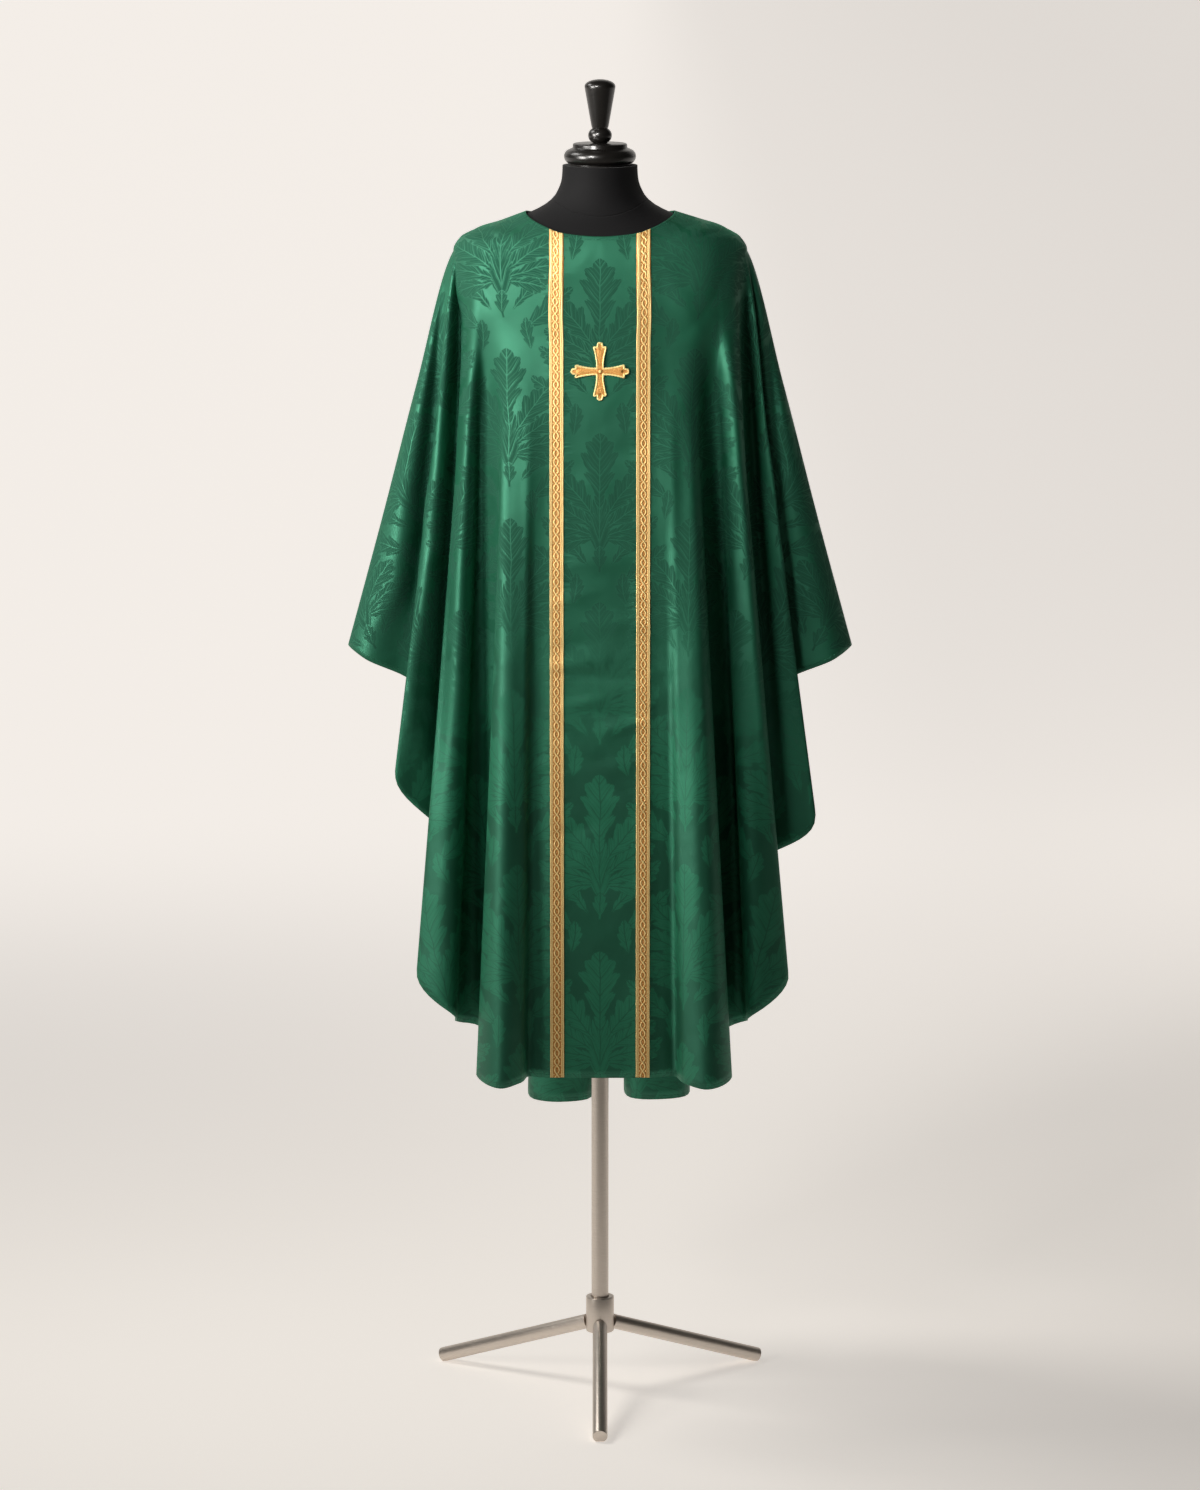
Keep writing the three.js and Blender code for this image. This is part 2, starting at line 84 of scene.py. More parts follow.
FORM_BOTTOM = 930

# How far the cloth's middle surface stays off the form, how far below the form it is left as it is,
# its neck edge, where a fall line's first knots lie between the neck edge and the place where it
# leaves the form, and how far the outermost lines bow outwards at a third and two thirds of the way
EASE = 2.3
BELOW_FORM = 60
NECK = dict(half=107.5, front=95, back=76, square=2.6)
SHOULDER_SHARES = (0, 0.36, 0.72)
SLEEVE_BOW = [2, 0]

# Fall lines of the cloth: place on the neck edge, place where the line leaves the form, and the
# hem's end for the wearer's left (x, z) and right (other_x, other_z), with columns to the next
# line. The rows go down the cloth in six stretches, between the knots of the lines.
COLUMNS = ("line", "neck_x", "rim_x", "rim_z", "x", "z", "other_x", "other_z", "y", "columns")
FRONT_LINES = table(COLUMNS, (
    ("centre", 0, 0, 1600, 0, 520, 0, 520, -165, 2),
    ("galloon_inner", 52.3, 52.3, 1600, 52.3, 520, 52.3, 520, -165, 1),
    ("galloon_outer", 72.8, 72.8, 1600, 72.8, 520, 72.8, 520, -165, 2),
    ("recess", 82, 92, 1602, 108, 521, 104, 521, -150, 1),
    ("first_inner", 88, 104, 1605, 124, 517, 116, 519, -186, 2),
    ("first_crest", 92.5, 116, 1610, 158, 513, 147, 514, -208, 2),
    ("first_outer", 96.5, 130, 1620, 193, 522, 181, 522, -176, 3),
    ("deep_inner", 99.5, 148, 1640, 148, 560, 143, 562, -98, 2),
    ("deep_outer", 102, 162, 1665, 214, 580, 210, 580, -72, 2),
    ("second_inner", 103.8, 172, 1685, 219, 600, 214, 603, -130, 2),
    ("second_outer", 105.3, 183, 1700, 277, 655, 269, 658, -104, 3),
    ("gap_inner", 106.3, 196, 1706, 205, 795, 205, 822, -34, 3),
    ("third_outer", 107, 207, 1712, 316, 880, 301, 948, -62, 3),
    ("gap_outer", 107.3, 209.5, 1715, 252, 1064, 252, 1064, -18, 3),
    ("sleeve_front", 107.4, 211.8, 1717, 345, 1121, 345, 1121, -34, 2),
))
SIDE_LINE = dict(zip(COLUMNS, ("side", 107.5, 230, 1718, 371, 1136, 371, 1136, 4, 2)))
BACK_LINES = table(COLUMNS, (
    ("centre", 0, 0, 1650, 16, 431, -16, 431, 243, 1),
    ("centre_crest", 16, 18, 1650, 34, 430, 6, 430, 224, 2),
    ("hollow_inner", 38, 46, 1650, 47, 421, 20, 418, 114, 2),
    ("hollow_outer", 60, 76, 1650, 128, 422, 100, 418, 116, 2),
    ("first_inner", 75, 94, 1650, 136, 434, 112, 434, 238, 2),
    ("first_crest", 84, 110, 1655, 164, 448, 148, 448, 270, 2),
    ("first_outer", 92, 130, 1660, 190, 466, 180, 468, 226, 2),
    ("deep", 97, 148, 1675, 150, 520, 146, 522, 134, 2),
    ("second_inner", 101, 166, 1690, 206, 575, 202, 580, 190, 2),
    ("second_outer", 104, 182, 1700, 254, 625, 246, 630, 166, 2),
    ("gap_inner", 105.8, 194, 1706, 206, 770, 204, 790, 88, 2),
    ("third_outer", 106.8, 206, 1712, 297, 868, 284, 915, 116, 2),
    ("gap_outer", 107.3, 209.5, 1715, 260, 1060, 260, 1060, 42, 2),
    ("sleeve_back", 107.4, 211.8, 1717, 345, 1118, 345, 1118, 46, 2),
))
ROWS_PER_STRETCH = [2, 2, 3, 5, 8, 4]


# One measure of the form at height z, smooth between the table's rows and never beyond them
def profile(key, z):
    rows = FORM_SECTIONS
    i = 0
    while i < len(rows) - 2 and rows[i + 1]["z"] > z:
        i += 1

    def slope(k):
        return (rows[k + 1][key] - rows[k][key]) / (rows[k + 1]["z"] - rows[k]["z"])

    def tangent(k):
        if k in (0, len(rows) - 1):
            return 0
        before, after = slope(k - 1), slope(k)
        return 2 * before * after / (before + after) if before * after > 0 else 0

    span = rows[i + 1]["z"] - rows[i]["z"]
    t = min(max((z - rows[i]["z"]) / span, 0), 1)
    a, b = rows[i][key], rows[i + 1][key]
    bend = (a - b) * (2 * t - 3) * t * t + a
    return bend + span * t * (1 - t) * ((1 - t) * tangent(i) - t * tangent(i + 1))


# Half width, depth and superellipse power of the form at height z, grown by `grow`
def section_at(z, behind, grow):
    depth = profile("back" if behind else "front", z) + grow
    return profile("side", z) + grow, depth, profile("square", z)


# The depth of a superellipse at x, as a share of its full depth
def depth_share(x, side, square):
    return max(0, 1 - min(1, abs(x) / side) ** square) ** (1 / square)


# The height at which the cloth rests on the form above or below (x, y)
def cloth_height(x, y):
    low, high = 1500, 1830
    for _ in range(40):
        z = (low + high) / 2
        side, depth, square = section_at(z, y > 0, EASE)
        if (abs(x) / side) ** square + (abs(y) / depth) ** square > 1:
            high = z
        else:
            low = z
    return low + EASE


# A point of a smooth curve through knots, with tangents weighted by the knots' spacing
def curve_point(knots, t, closed=False):
    count = len(knots)
    p = (count - (0 if closed else 1)) * t
    i = int(math.floor(p))
    weight = p - i
    if closed:
        i %= count
    elif weight == 0 and i == count - 1:
        i, weight = count - 2, 1.0
    if closed or i > 0:
        before = knots[(i - 1) % count]
    else:
        before = 2 * knots[0] - knots[1]
    here, after = knots[i % count], knots[(i + 1) % count]
    if closed or i + 2 < count:
        beyond = knots[(i + 2) % count]
    else:
        beyond = 2 * knots[-1] - knots[-2]
    pairs = (before, here), (here, after), (after, beyond)
    steps = [math.sqrt(np.linalg.norm(b - a)) for a, b in pairs]
    least = 1e-4
    if steps[1] < least:
        steps[1] = 1
    left, middle, right = [step if step >= least else steps[1] for step in steps]
    first = (here - before) / left - (after - before) / (left + middle) + (after - here) / middle
    last = (after - here) / middle - (beyond - here) / (middle + right) + (beyond - after) / right
    first, last = first * middle, last * middle
    square = -3 * here + 3 * after - 2 * first - last
    cube = 2 * here - 2 * after + first + last
    return here + first * weight + square * weight ** 2 + cube * weight ** 3


# The knots of one fall line; hand is 1 on the wearer's left (+X) and -1 on the right
def fall_line(row, hand, behind):
    facing = 1 if behind else -1
    neck_depth = NECK["back"] if behind else NECK["front"]
    neck_share = depth_share(row["neck_x"], NECK["half"], NECK["square"])
    neck = np.array([row["neck_x"], neck_depth * neck_share])
    side, depth, square = section_at(row["rim_z"] - EASE, behind, EASE)
    rim_x = min(row["rim_x"], side)
    rim = np.array([rim_x, depth * depth_share(rim_x, side, square)])
    points = []
    for share in SHOULDER_SHARES:
        x, y = neck + (rim - neck) * share
        points.append(np.array([hand * x, facing * y, cloth_height(x, facing * y)]))
    points.append(np.array([hand * rim[0], facing * rim[1], row["rim_z"]]))
    x, z = (row["x"], row["z"]) if hand > 0 else (row["other_x"], row["other_z"])
    hem = np.array([hand * x, row["y"], z], dtype=float)
    width = abs(hem[0]) / SIDE_LINE["x"]
    start = points[3]
    for k, bow in enumerate((*SLEEVE_BOW, 0)):
        point = start + (hem - start) * (k + 1) / 3
        point[0] += hand * bow * width * width
        points.append(point)
    return np.array(points)


# All fall lines round the garment, from the centre front by the wearer's left side and the back
def all_fall_lines():
    lines = []
    last, back_last = len(FRONT_LINES) - 1, len(BACK_LINES) - 1
    for row in FRONT_LINES:
        lines.append((fall_line(row, 1, False), row["columns"]))
    lines.append((fall_line(SIDE_LINE, 1, True), BACK_LINES[-1]["columns"]))
    for i in range(back_last, -1, -1):
        lines.append((fall_line(BACK_LINES[i], 1, True), BACK_LINES[max(i - 1, 0)]["columns"]))
    for i in range(1, back_last + 1):
        lines.append((fall_line(BACK_LINES[i], -1, True), BACK_LINES[i]["columns"]))
    lines.append((fall_line(SIDE_LINE, -1, True), FRONT_LINES[last]["columns"]))
    for i in range(last, 0, -1):
        lines.append((fall_line(FRONT_LINES[i], -1, False), FRONT_LINES[i - 1]["columns"]))
    return lines


# The point, moved straight out where it is too near the form
def clear_of_form(point):
    if point[2] < FORM_BOTTOM - BELOW_FORM:
        return point
    z = min(point[2] - EASE, FORM_SECTIONS[0]["z"])
    side, depth, square = section_at(z, point[1] > 0, EASE)
    inside = (abs(point[0]) / side) ** square + (abs(point[1]) / depth) ** square
    if inside >= 1:
        return point
    scale = inside ** (-1 / square)
    return np.array([point[0] * scale, point[1] * scale, point[2]])


# Vectors along the last axis, each made one unit long
def unit(vectors):
    return vectors / np.linalg.norm(vectors, axis=-1, keepdims=True)


# The cloth's middle surface: rows of closed rings from the neck edge to the hem, with each of the
# tables' columns and rows split into finer_across and finer_down
class Cloth:
    def __init__(self, finer_across, finer_down):
        lines = all_fall_lines()
        shares = [0.0]
        stretches = len(ROWS_PER_STRETCH)
        for stretch, count in enumerate(ROWS_PER_STRETCH):
            steps = count * finer_down
            shares += [(stretch + k / steps) / stretches for k in range(1, steps + 1)]
        self.starts = []
        column = 0
        for _, columns in lines:
            self.starts.append(column)
            column += columns * finer_across
        self.count = column
        rows = []
        for share in shares:
            knots = np.array([curve_point(points, share) for points, _ in lines])
            ring = []
            for i, (_, columns) in enumerate(lines):
                steps = columns * finer_across
                for k in range(steps):
                    turn = (i + k / steps) / len(lines)
                    ring.append(clear_of_form(curve_point(knots, turn, True)))
            rows.append(ring)
        self.points = np.array(rows)
        self.side = dict(left=self.starts[len(FRONT_LINES)],
                         right=self.starts[len(lines) - len(FRONT_LINES)])

    def normals(self):
        across = np.roll(self.points, -1, axis=1) - np.roll(self.points, 1, axis=1)
        down = np.gradient(self.points, axis=0)
        return unit(np.cross(down, across))

    def columns(self, start, end):
        length = (end - start) % self.count
        return [(start + k) % self.count for k in range(length + 1)]

    def panel(self, grid, start, end):
        return grid[:, self.columns(start, end)]


# Small tools for modelling
def deselect_all():
    if bpy.context.object and bpy.context.object.mode != "OBJECT":
        bpy.ops.object.mode_set(mode="OBJECT")
    bpy.ops.object.select_all(action="DESELECT")


def make_active(piece):
    deselect_all()
    piece.select_set(True)
    bpy.context.view_layer.objects.active = piece


def named(name):
    piece = bpy.context.object
    piece.name = name
    piece.data.name = name
    return piece


def edit(piece):
    make_active(piece)
    bpy.ops.object.mode_set(mode="EDIT")
    return bmesh.from_edit_mesh(piece.data)


# Joins points less than gap apart and turns the faces outwards
def close_mesh(piece, gap):
    edit(piece)
    bpy.ops.mesh.select_all(action="SELECT")
    bpy.ops.mesh.remove_doubles(threshold=gap * MM)
    bpy.ops.mesh.normals_make_consistent(inside=False)
    bpy.ops.object.mode_set(mode="OBJECT")


# Carries the active object's place, turn and scale into its mesh
def apply_placing():
    bpy.ops.object.transform_apply(location=True, rotation=True, scale=True)


# Material, slot and node of a piece; edges that turn by more than `angle` degrees stay sharp
def finish_piece(piece, finish, replaces=(), angle=None):
    make_active(piece)
    apply_placing()
    if angle is None:
        bpy.ops.object.shade_smooth()
    else:
        bpy.ops.object.shade_smooth_by_angle(angle=math.radians(angle))
    piece.data.materials.clear()
    piece.data.materials.append(finish)
    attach(piece, "root")
    if replaces:
        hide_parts(*replaces)


# Gives a sheet its thickness, half on either side
def thicken(piece, thickness):
    make_active(piece)
    modifier = piece.modifiers.new("thickness", "SOLIDIFY")
    modifier.thickness = thickness
    modifier.offset = 0
    modifier.use_even_offset = False
    bpy.ops.object.modifier_apply(modifier=modifier.name)


# A grid primitive whose points are then laid out on a surface; rows run from its low edge up
def laid_grid(name, points):
    rows, columns = points.shape[:2]
    deselect_all()
    bpy.ops.mesh.primitive_grid_add(x_subdivisions=columns - 1, y_subdivisions=rows - 1, size=1)
    piece = named(name)
    piece.data.vertices.foreach_set("co", (points * MM).reshape(-1))
    piece.data.update()
    return piece


# The point at each face corner of a mesh
def corner_points(mesh):
    corner = np.empty(len(mesh.loops), dtype=np.int32)
    mesh.loops.foreach_get("vertex_index", corner)
    return corner


def set_uv(piece, u, v):
    mesh = piece.data
    corner = corner_points(mesh)
    layer = mesh.uv_layers[0] if mesh.uv_layers else mesh.uv_layers.new(name="UVMap")
    pairs = np.stack([u.reshape(-1)[corner], v.reshape(-1)[corner]], axis=1)
    layer.data.foreach_set("uv", pairs.astype(np.float32).reshape(-1))


# A value at each point that a material can read
def set_attribute(piece, name, values):
    layer = piece.data.attributes.new(name, "FLOAT", "POINT")
    layer.data.foreach_set("value", values.astype(np.float32).reshape(-1))


# Where each point of a panel lies on the flat cloth, in metres: unwrapped from the coarse panel,
# with the middle column upright and the neck's middle at the top
def flat_layout(points, middle):
    piece = laid_grid("flat_layout", points[::-1])
    rows, columns = points.shape[:2]
    edit(piece)
    bpy.ops.mesh.select_all(action="SELECT")
    bpy.ops.uv.select_all(action="SELECT")
    bpy.ops.uv.unwrap(method="ANGLE_BASED", margin=0.0)
    bpy.ops.object.mode_set(mode="OBJECT")
    mesh = piece.data
    corner = corner_points(mesh)
    uv = np.empty(len(mesh.loops) * 2, dtype=np.float32)
    mesh.uv_layers[0].data.foreach_get("uv", uv)
    flat = np.zeros((rows * columns, 2))
    flat[corner] = uv.reshape(-1, 2)
    flat = flat.reshape(rows, columns, 2)[::-1]
    area = sum(p.area for p in mesh.polygons)
    bpy.data.objects.remove(piece, do_unlink=True)
    falling = flat[1:, 1:] - flat[:-1, :-1]
    rising = flat[1:, :-1] - flat[:-1, 1:]
    flat_area = np.abs(np.cross(falling, rising)).sum() / 2
    flat = flat * math.sqrt(area / flat_area)
    top, bottom = flat[0, middle], flat[-1, middle]
    down = (bottom - top) / np.linalg.norm(bottom - top)
    rotate = np.array([[-down[1], down[0]], [-down[0], -down[1]]])
    flat = (flat - top) @ rotate.T
    if flat[rows // 2, -1, 0] < flat[rows // 2, 0, 0]:
        flat[:, :, 0] *= -1
    return flat


# Carries values on the coarse panel to a finer one
def refined(values, finer_down, finer_across):
    rows, columns = values.shape
    down = np.arange((rows - 1) * finer_down + 1) / finer_down
    across = np.arange((columns - 1) * finer_across + 1) / finer_across
    tall = np.array([np.interp(down, np.arange(rows), values[:, k]) for k in range(columns)]).T
    return np.array([np.interp(across, np.arange(columns), row) for row in tall])


# Arithmetic written out as shader nodes
class Term:
    def __init__(self, tree, socket):
        self.tree, self.socket = tree, socket

    def do(self, operation, *others):
        node = self.tree.nodes.new("ShaderNodeMath")
        node.operation = operation
        for place, value in zip(node.inputs, (self, *others)):
            if isinstance(value, Term):
                self.tree.links.new(value.socket, place)
            else:
                place.default_value = value
        return Term(self.tree, node.outputs[0])

    def __add__(self, other):
        return self.do("ADD", other)

    def __sub__(self, other):
        return self.do("SUBTRACT", other)

    def __mul__(self, other):
        return self.do("MULTIPLY", other)

    def __truediv__(self, other):
        return self.do("DIVIDE", other)

    def less_from(self, value):
        return (self * -1) + value

    def size(self):
        return self.do("ABSOLUTE")

    def most(self, other):
        return self.do("MAXIMUM", other)

    def least(self, other):
        return self.do("MINIMUM", other)

    # A smooth step from 0 at low to 1 at high
    def ramp(self, low, high):
        node = self.tree.nodes.new("ShaderNodeMapRange")
        node.interpolation_type = "SMOOTHSTEP"
        self.tree.links.new(self.socket, node.inputs["Value"])
        node.inputs["From Min"].default_value = low
        node.inputs["From Max"].default_value = high
        return Term(self.tree, node.outputs["Result"])


def new_material(name):
    material = bpy.data.materials.new(name)
    material.use_nodes = True
    tree = material.node_tree
    shader = tree.nodes["Principled BSDF"]
    return material, tree, shader


def link_surface(tree, shader, tone, rough):
    tree.links.new(tone, shader.inputs["Base Color"])
    tree.links.new(rough.socket, shader.inputs["Roughness"])


# Sets sockets whose value is the same all over
def fixed(shader, values):
    for name, value in values.items():
        shader.inputs[name].default_value = value


def coordinate(tree, kind):
    node = tree.nodes.new("ShaderNodeTexCoord")
    return node.outputs[kind]


def split(tree, vector):
    node = tree.nodes.new("ShaderNodeSeparateXYZ")
    tree.links.new(vector, node.inputs[0])
    return [Term(tree, out) for out in node.outputs]


def noise(tree, vector, scale, detail, stretch=(1, 1, 1)):
    mapping = tree.nodes.new("ShaderNodeMapping")
    mapping.inputs["Scale"].default_value = stretch
    tree.links.new(vector, mapping.inputs["Vector"])
    node = tree.nodes.new("ShaderNodeTexNoise")
    node.inputs["Scale"].default_value = scale
    node.inputs["Detail"].default_value = detail
    tree.links.new(mapping.outputs[0], node.inputs["Vector"])
    return Term(tree, node.outputs["Fac"])


def attribute(tree, name):
    node = tree.nodes.new("ShaderNodeAttribute")
    node.attribute_name = name
    return Term(tree, node.outputs["Fac"])


def mixed(tree, factor, first, second):
    node = tree.nodes.new("ShaderNodeMix")
    node.data_type = "RGBA"
    tree.links.new(factor.socket, node.inputs["Factor"])
    for index, value in ((6, first), (7, second)):
        if isinstance(value, tuple):
            node.inputs[index].default_value = (*value, 1)
        else:
            tree.links.new(value, node.inputs[index])
    return node.outputs[2]


def bump(tree, height, shader, distance):
    node = tree.nodes.new("ShaderNodeBump")
    node.inputs["Distance"].default_value = distance
    node.inputs["Strength"].default_value = 1
    tree.links.new(height.socket, node.inputs["Height"])
    tree.links.new(node.outputs[0], shader.inputs["Normal"])


# An sRGB colour (0 to 255) as the linear values that shaders take
def srgb(*levels):
    shares = [level / 255 for level in levels]
    return tuple(((c + 0.055) / 1.055) ** 2.4 if c > 10 / 255 else c / 12.92 for c in shares)


# Damask: one acanthus leaf with pointed slanting lobes, veins and fine hatching, in millimetres on
# the cloth. It starts at its root, leans `lean` degrees from straight up, bends sideways by `bend`
# at its tip and is widest at the share `full` of its length. The halo is a narrow gap round it
# that keeps it clear of the leaves behind.
def damask_leaf(x, y, root_x, root_y, lean, length, width, bend, lobes, full):
    c, s = math.cos(math.radians(lean)), math.sin(math.radians(lean))
    dx, dy = x - root_x, y - root_y
    along = (dx * s + dy * c) / length
    off = ((dx * c - dy * s) - (along * along) * bend).size() / width
    share = along.most(0.001).least(0.999)
    swell = (share.do("POWER", math.log(0.5) / math.log(full)) * math.pi).do("SINE").do("POWER", 0.8)
    phase = (along * lobes - off * 1.1).do("FRACT")
    point = ((phase - 0.6).size() * -1.75 + 1).most(0)
    teeth = ((phase * (5 * math.pi)).do("SINE")).size() * 0.07
    beyond = (along - share).size() * length
    margin = (swell * (point * 0.46 + teeth + 0.56) - off) * width - beyond
    rib = (off * width).ramp(1.0, 0.4)
    side = (along * lobes - off * 1.5 + 0.6).do("FRACT")
    vein = (side - 0.5).size().ramp(0.44, 0.49) * off.ramp(0.85, 0.4)
    hatch = (along * (lobes * 3) - off * 4.2).do("FRACT")
    fine = (hatch - 0.5).size().ramp(0.28, 0.45) * 0.35
    halo = margin.ramp(-1.5, -0.9) * along.ramp(0.1, 0.3)
    return margin.ramp(-0.3, 0.4), halo, vein.most(rib).most(fine)


DAMASK = dict(wide=280, tall=257)
LEAF_COLUMNS = ("root_x", "root_y", "lean", "length", "width", "bend", "lobes", "full")
LEAVES = table(LEAF_COLUMNS, (
    (0, -74, 0, 96, 26, 0, 2, 0.55),
    (14, -92, 38, 108, 17, 12, 6, 0.62),
    (118, 4, -56, 104, 17, 10, 6, 0.6),
    (100, -22, 14, 50, 11, -6, 4, 0.6),
    (3, -50, 86, 60, 13, 16, 4, 0.66),
    (3, -48, 64, 78, 16, 17, 4, 0.68),
    (2, -42, 45, 92, 19, 18, 5, 0.7),
    (1, -32, 27, 102, 21, 18, 5, 0.72),
    (0, -40, 0, 152, 29, 0, 6, 0.76),
    (0, -96, 0, 36, 11, 0, 3, 0.6),
))


def damask_pattern(tree):
    group = bpy.data.node_groups.new("damask_pattern", "ShaderNodeTree")
    group.interface.new_socket("Vector", in_out="INPUT", socket_type="NodeSocketVector")
    group.interface.new_socket("Leaf", in_out="OUTPUT", socket_type="NodeSocketFloat")
    start = group.nodes.new("NodeGroupInput")
    end = group.nodes.new("NodeGroupOutput")
    u, v, _ = split(group, start.outputs[0])
    u, v = u * 1000, v * 1000
    wide, tall = DAMASK["wide"], DAMASK["tall"]

    def wrapped(value, offset, period):
        return (value + offset + period / 2).do("FLOORED_MODULO", period) - period / 2

    first_x, first_y = wrapped(u, 0, wide).size(), wrapped(v, 0, tall)
    other_x, other_y = wrapped(u, wide / 2, wide).size(), wrapped(v, tall / 2, tall)
    outside = (first_x / (wide / 2) + first_y.size() / (tall / 2)).do("GREATER_THAN", 1.0)
    x = first_x + (other_x - first_x) * outside
    y = first_y + (other_y - first_y) * outside
    figure = x.ramp(2.0, 1.0) * y.ramp(-38, -40) * y.ramp(-100, -98)
    for row in LEAVES:
        inside, halo, vein = damask_leaf(x, y, **row)
        figure = (figure * halo.less_from(1)).most(inside * vein.less_from(1))
    group.links.new(figure.socket, end.inputs["Leaf"])
    node = tree.nodes.new("ShaderNodeGroup")
    node.node_tree = group
    return node


# The pattern's place on the cloth, so that a palmette's top is level with the photo's, how far its
# lines waver, and the stitching: its distance from the hem and the neck edge and its pitch in mm
PATTERN_DROP = 0.14
WAVER = 0.008
STITCH = dict(hem=6, neck=5, pitch=4.6)


# Green damask: the leaves are rougher than the ground high up. Their colour is painted light and shade:
# darker than the ground high up, where the satin ground is lit, and lighter than it low down, where the
# ground is in shade. The ground too is painted lighter high up.
def damask_cloth():
    material, tree, shader = new_material("green_damask")
    uv = coordinate(tree, "UV")
    figure = damask_pattern(tree)
    waver = tree.nodes.new("ShaderNodeTexNoise")
    waver.inputs["Scale"].default_value = 24
    tree.links.new(uv, waver.inputs["Vector"])
    shift = tree.nodes.new("ShaderNodeVectorMath")
    shift.operation = "MULTIPLY_ADD"
    shift.inputs[1].default_value = (WAVER, WAVER, 0)
    tree.links.new(waver.outputs["Color"], shift.inputs[0])
    place = tree.nodes.new("ShaderNodeMapping")
    place.inputs["Location"].default_value = (-WAVER / 2, PATTERN_DROP, 0)
    tree.links.new(uv, place.inputs["Vector"])
    tree.links.new(place.outputs[0], shift.inputs[2])
    tree.links.new(shift.outputs[0], figure.inputs[0])
    leaf = Term(tree, figure.outputs[0])
    cloudy = noise(tree, uv, 9, 3)
    u, v, _ = split(tree, uv)
    high = v.ramp(-0.85, -0.5)
    # Painted light: the ground is painted lighter high up, on top of its random cloudy tone
    cloud_and_painted_light = cloudy.ramp(0.35, 0.65) * 0.5 + high * 0.5
    ground = mixed(tree, cloud_and_painted_light, srgb(3, 44, 28), srgb(5, 60, 39))
    # Painted light and shade: the leaves are painted darker than the ground high up and lighter low down
    leaf_painted_light_tone = mixed(tree, high, srgb(20, 86, 60), srgb(2, 36, 23))
    grain = noise(tree, uv, 900, 1)
    rough = leaf * (high * 0.3 + 0.02) + 0.54 + grain * 0.06
    link_surface(tree, shader, mixed(tree, leaf, ground, leaf_painted_light_tone), rough)
    fixed(shader, {
        "IOR": 1.65,
        "Specular IOR Level": 1.0,
        "Specular Tint": (0.28, 1.0, 0.66, 1),
        "Sheen Weight": 0.12,
        "Sheen Roughness": 0.4,
        "Sheen Tint": (*srgb(90, 220, 160), 1),
    })
    tick = (u * (1000 / STITCH["pitch"])).do("FRACT").ramp(0.62, 0.5)
    at_hem = (attribute(tree, "hem_mm") - STITCH["hem"]).size().ramp(0.9, 0.3)
    at_neck = (attribute(tree, "neck_mm") - STITCH["neck"]).size().ramp(0.8, 0.3)
    stitch = (at_hem * tick).most(at_neck * tick)
    pucker = noise(tree, uv, 1, 2, (40, 150, 1)) * attribute(tree, "pucker")
    height = grain * 0.12 + pucker * 2.2 + noise(tree, uv, 13, 2) * 2.9
    height = height + noise(tree, uv, 36, 2) * 0.5 - stitch * 0.8
    bump(tree, height, shader, 0.001)
    return material


# Gold thread with painted shade and highlight: dark in the recesses as painted shade, paler on the
# raised cords as painted highlight
def gold_thread(name, grain_scale, grain_depth, recess, crest):
    material, tree, shader = new_material(name)
    place = coordinate(tree, "Object")
    raised = attribute(tree, "raised")
    glint = noise(tree, place, grain_scale, 1)
    # Painted shade in the recesses and painted highlight on the raised cords, with random painted glints
    level = (raised + glint * 0.7 - 0.35).ramp(0.0, 1.0)
    link_surface(tree, shader, mixed(tree, level, recess, crest), glint * 0.2 + 0.34)
    fixed(shader, {"Metallic": 0.35})
    bump(tree, glint, shader, grain_depth)
    return material


# Black jersey with the seam between the neck and the torso, a line that sinks towards the middle
def black_jersey():
    material, tree, shader = new_material("black_jersey")
    place = coordinate(tree, "Object")
    x, y, z = split(tree, place)
    knit = noise(tree, place, 1500, 1)
    line = ((x * x) * 4.4 + 1.7745 - z).size().ramp(0.0011, 0.0004) * y.ramp(0.0, -0.01)
    cloud = noise(tree, place, 14, 2)
    base = mixed(tree, cloud, srgb(5, 5, 6), srgb(9, 8, 10))
    link_surface(tree, shader, mixed(tree, line, base, srgb(4, 4, 5)), knit * 0.1 + 0.72)
    fixed(shader, {"Sheen Weight": 0.03, "Specular IOR Level": 0.2})
    bump(tree, knit * 0.4 - line * 2.5, shader, 0.0003)
    return material


def black_lacquer():
    material, tree, shader = new_material("black_lacquer")
    place = coordinate(tree, "Object")
    haze = noise(tree, place, 60, 3)
    tone = mixed(tree, haze, srgb(14, 13, 12), srgb(24, 22, 20))
    link_surface(tree, shader, tone, haze * 0.12 + 0.24)
    fixed(shader, {"Coat Weight": 0.3, "Coat Roughness": 0.12})
    bump(tree, noise(tree, place, 220, 1), shader, 0.0001)
    return material


# Brushed steel, its hairlines drawn out level
def brushed_steel():
    material, tree, shader = new_material("brushed_steel")
    place = coordinate(tree, "Object")
    hair = noise(tree, place, 1800, 2, (0.04, 0.04, 1))
    smear = noise(tree, place, 40, 2)
    tone = mixed(tree, hair, srgb(198, 187, 175), srgb(226, 216, 206))
    link_surface(tree, shader, tone, hair * 0.16 + 0.24 + smear * 0.08)
    fixed(shader, {"Metallic": 0.8})
    bump(tree, hair, shader, 0.00008)
    return material


DAMASK_CLOTH = damask_cloth()
# Each gold's first colour is the painted shade of the recesses, its second the painted highlight of the
# raised cords
GOLD = gold_thread("gold_braid", 1400, 0.0003, srgb(188, 122, 50), srgb(253, 228, 156))
GRAINED_GOLD = gold_thread("gold_granules", 620, 0.001, srgb(196, 128, 54), srgb(255, 210, 128))
JERSEY = black_jersey()
LACQUER = black_lacquer()
STEEL = brushed_steel()

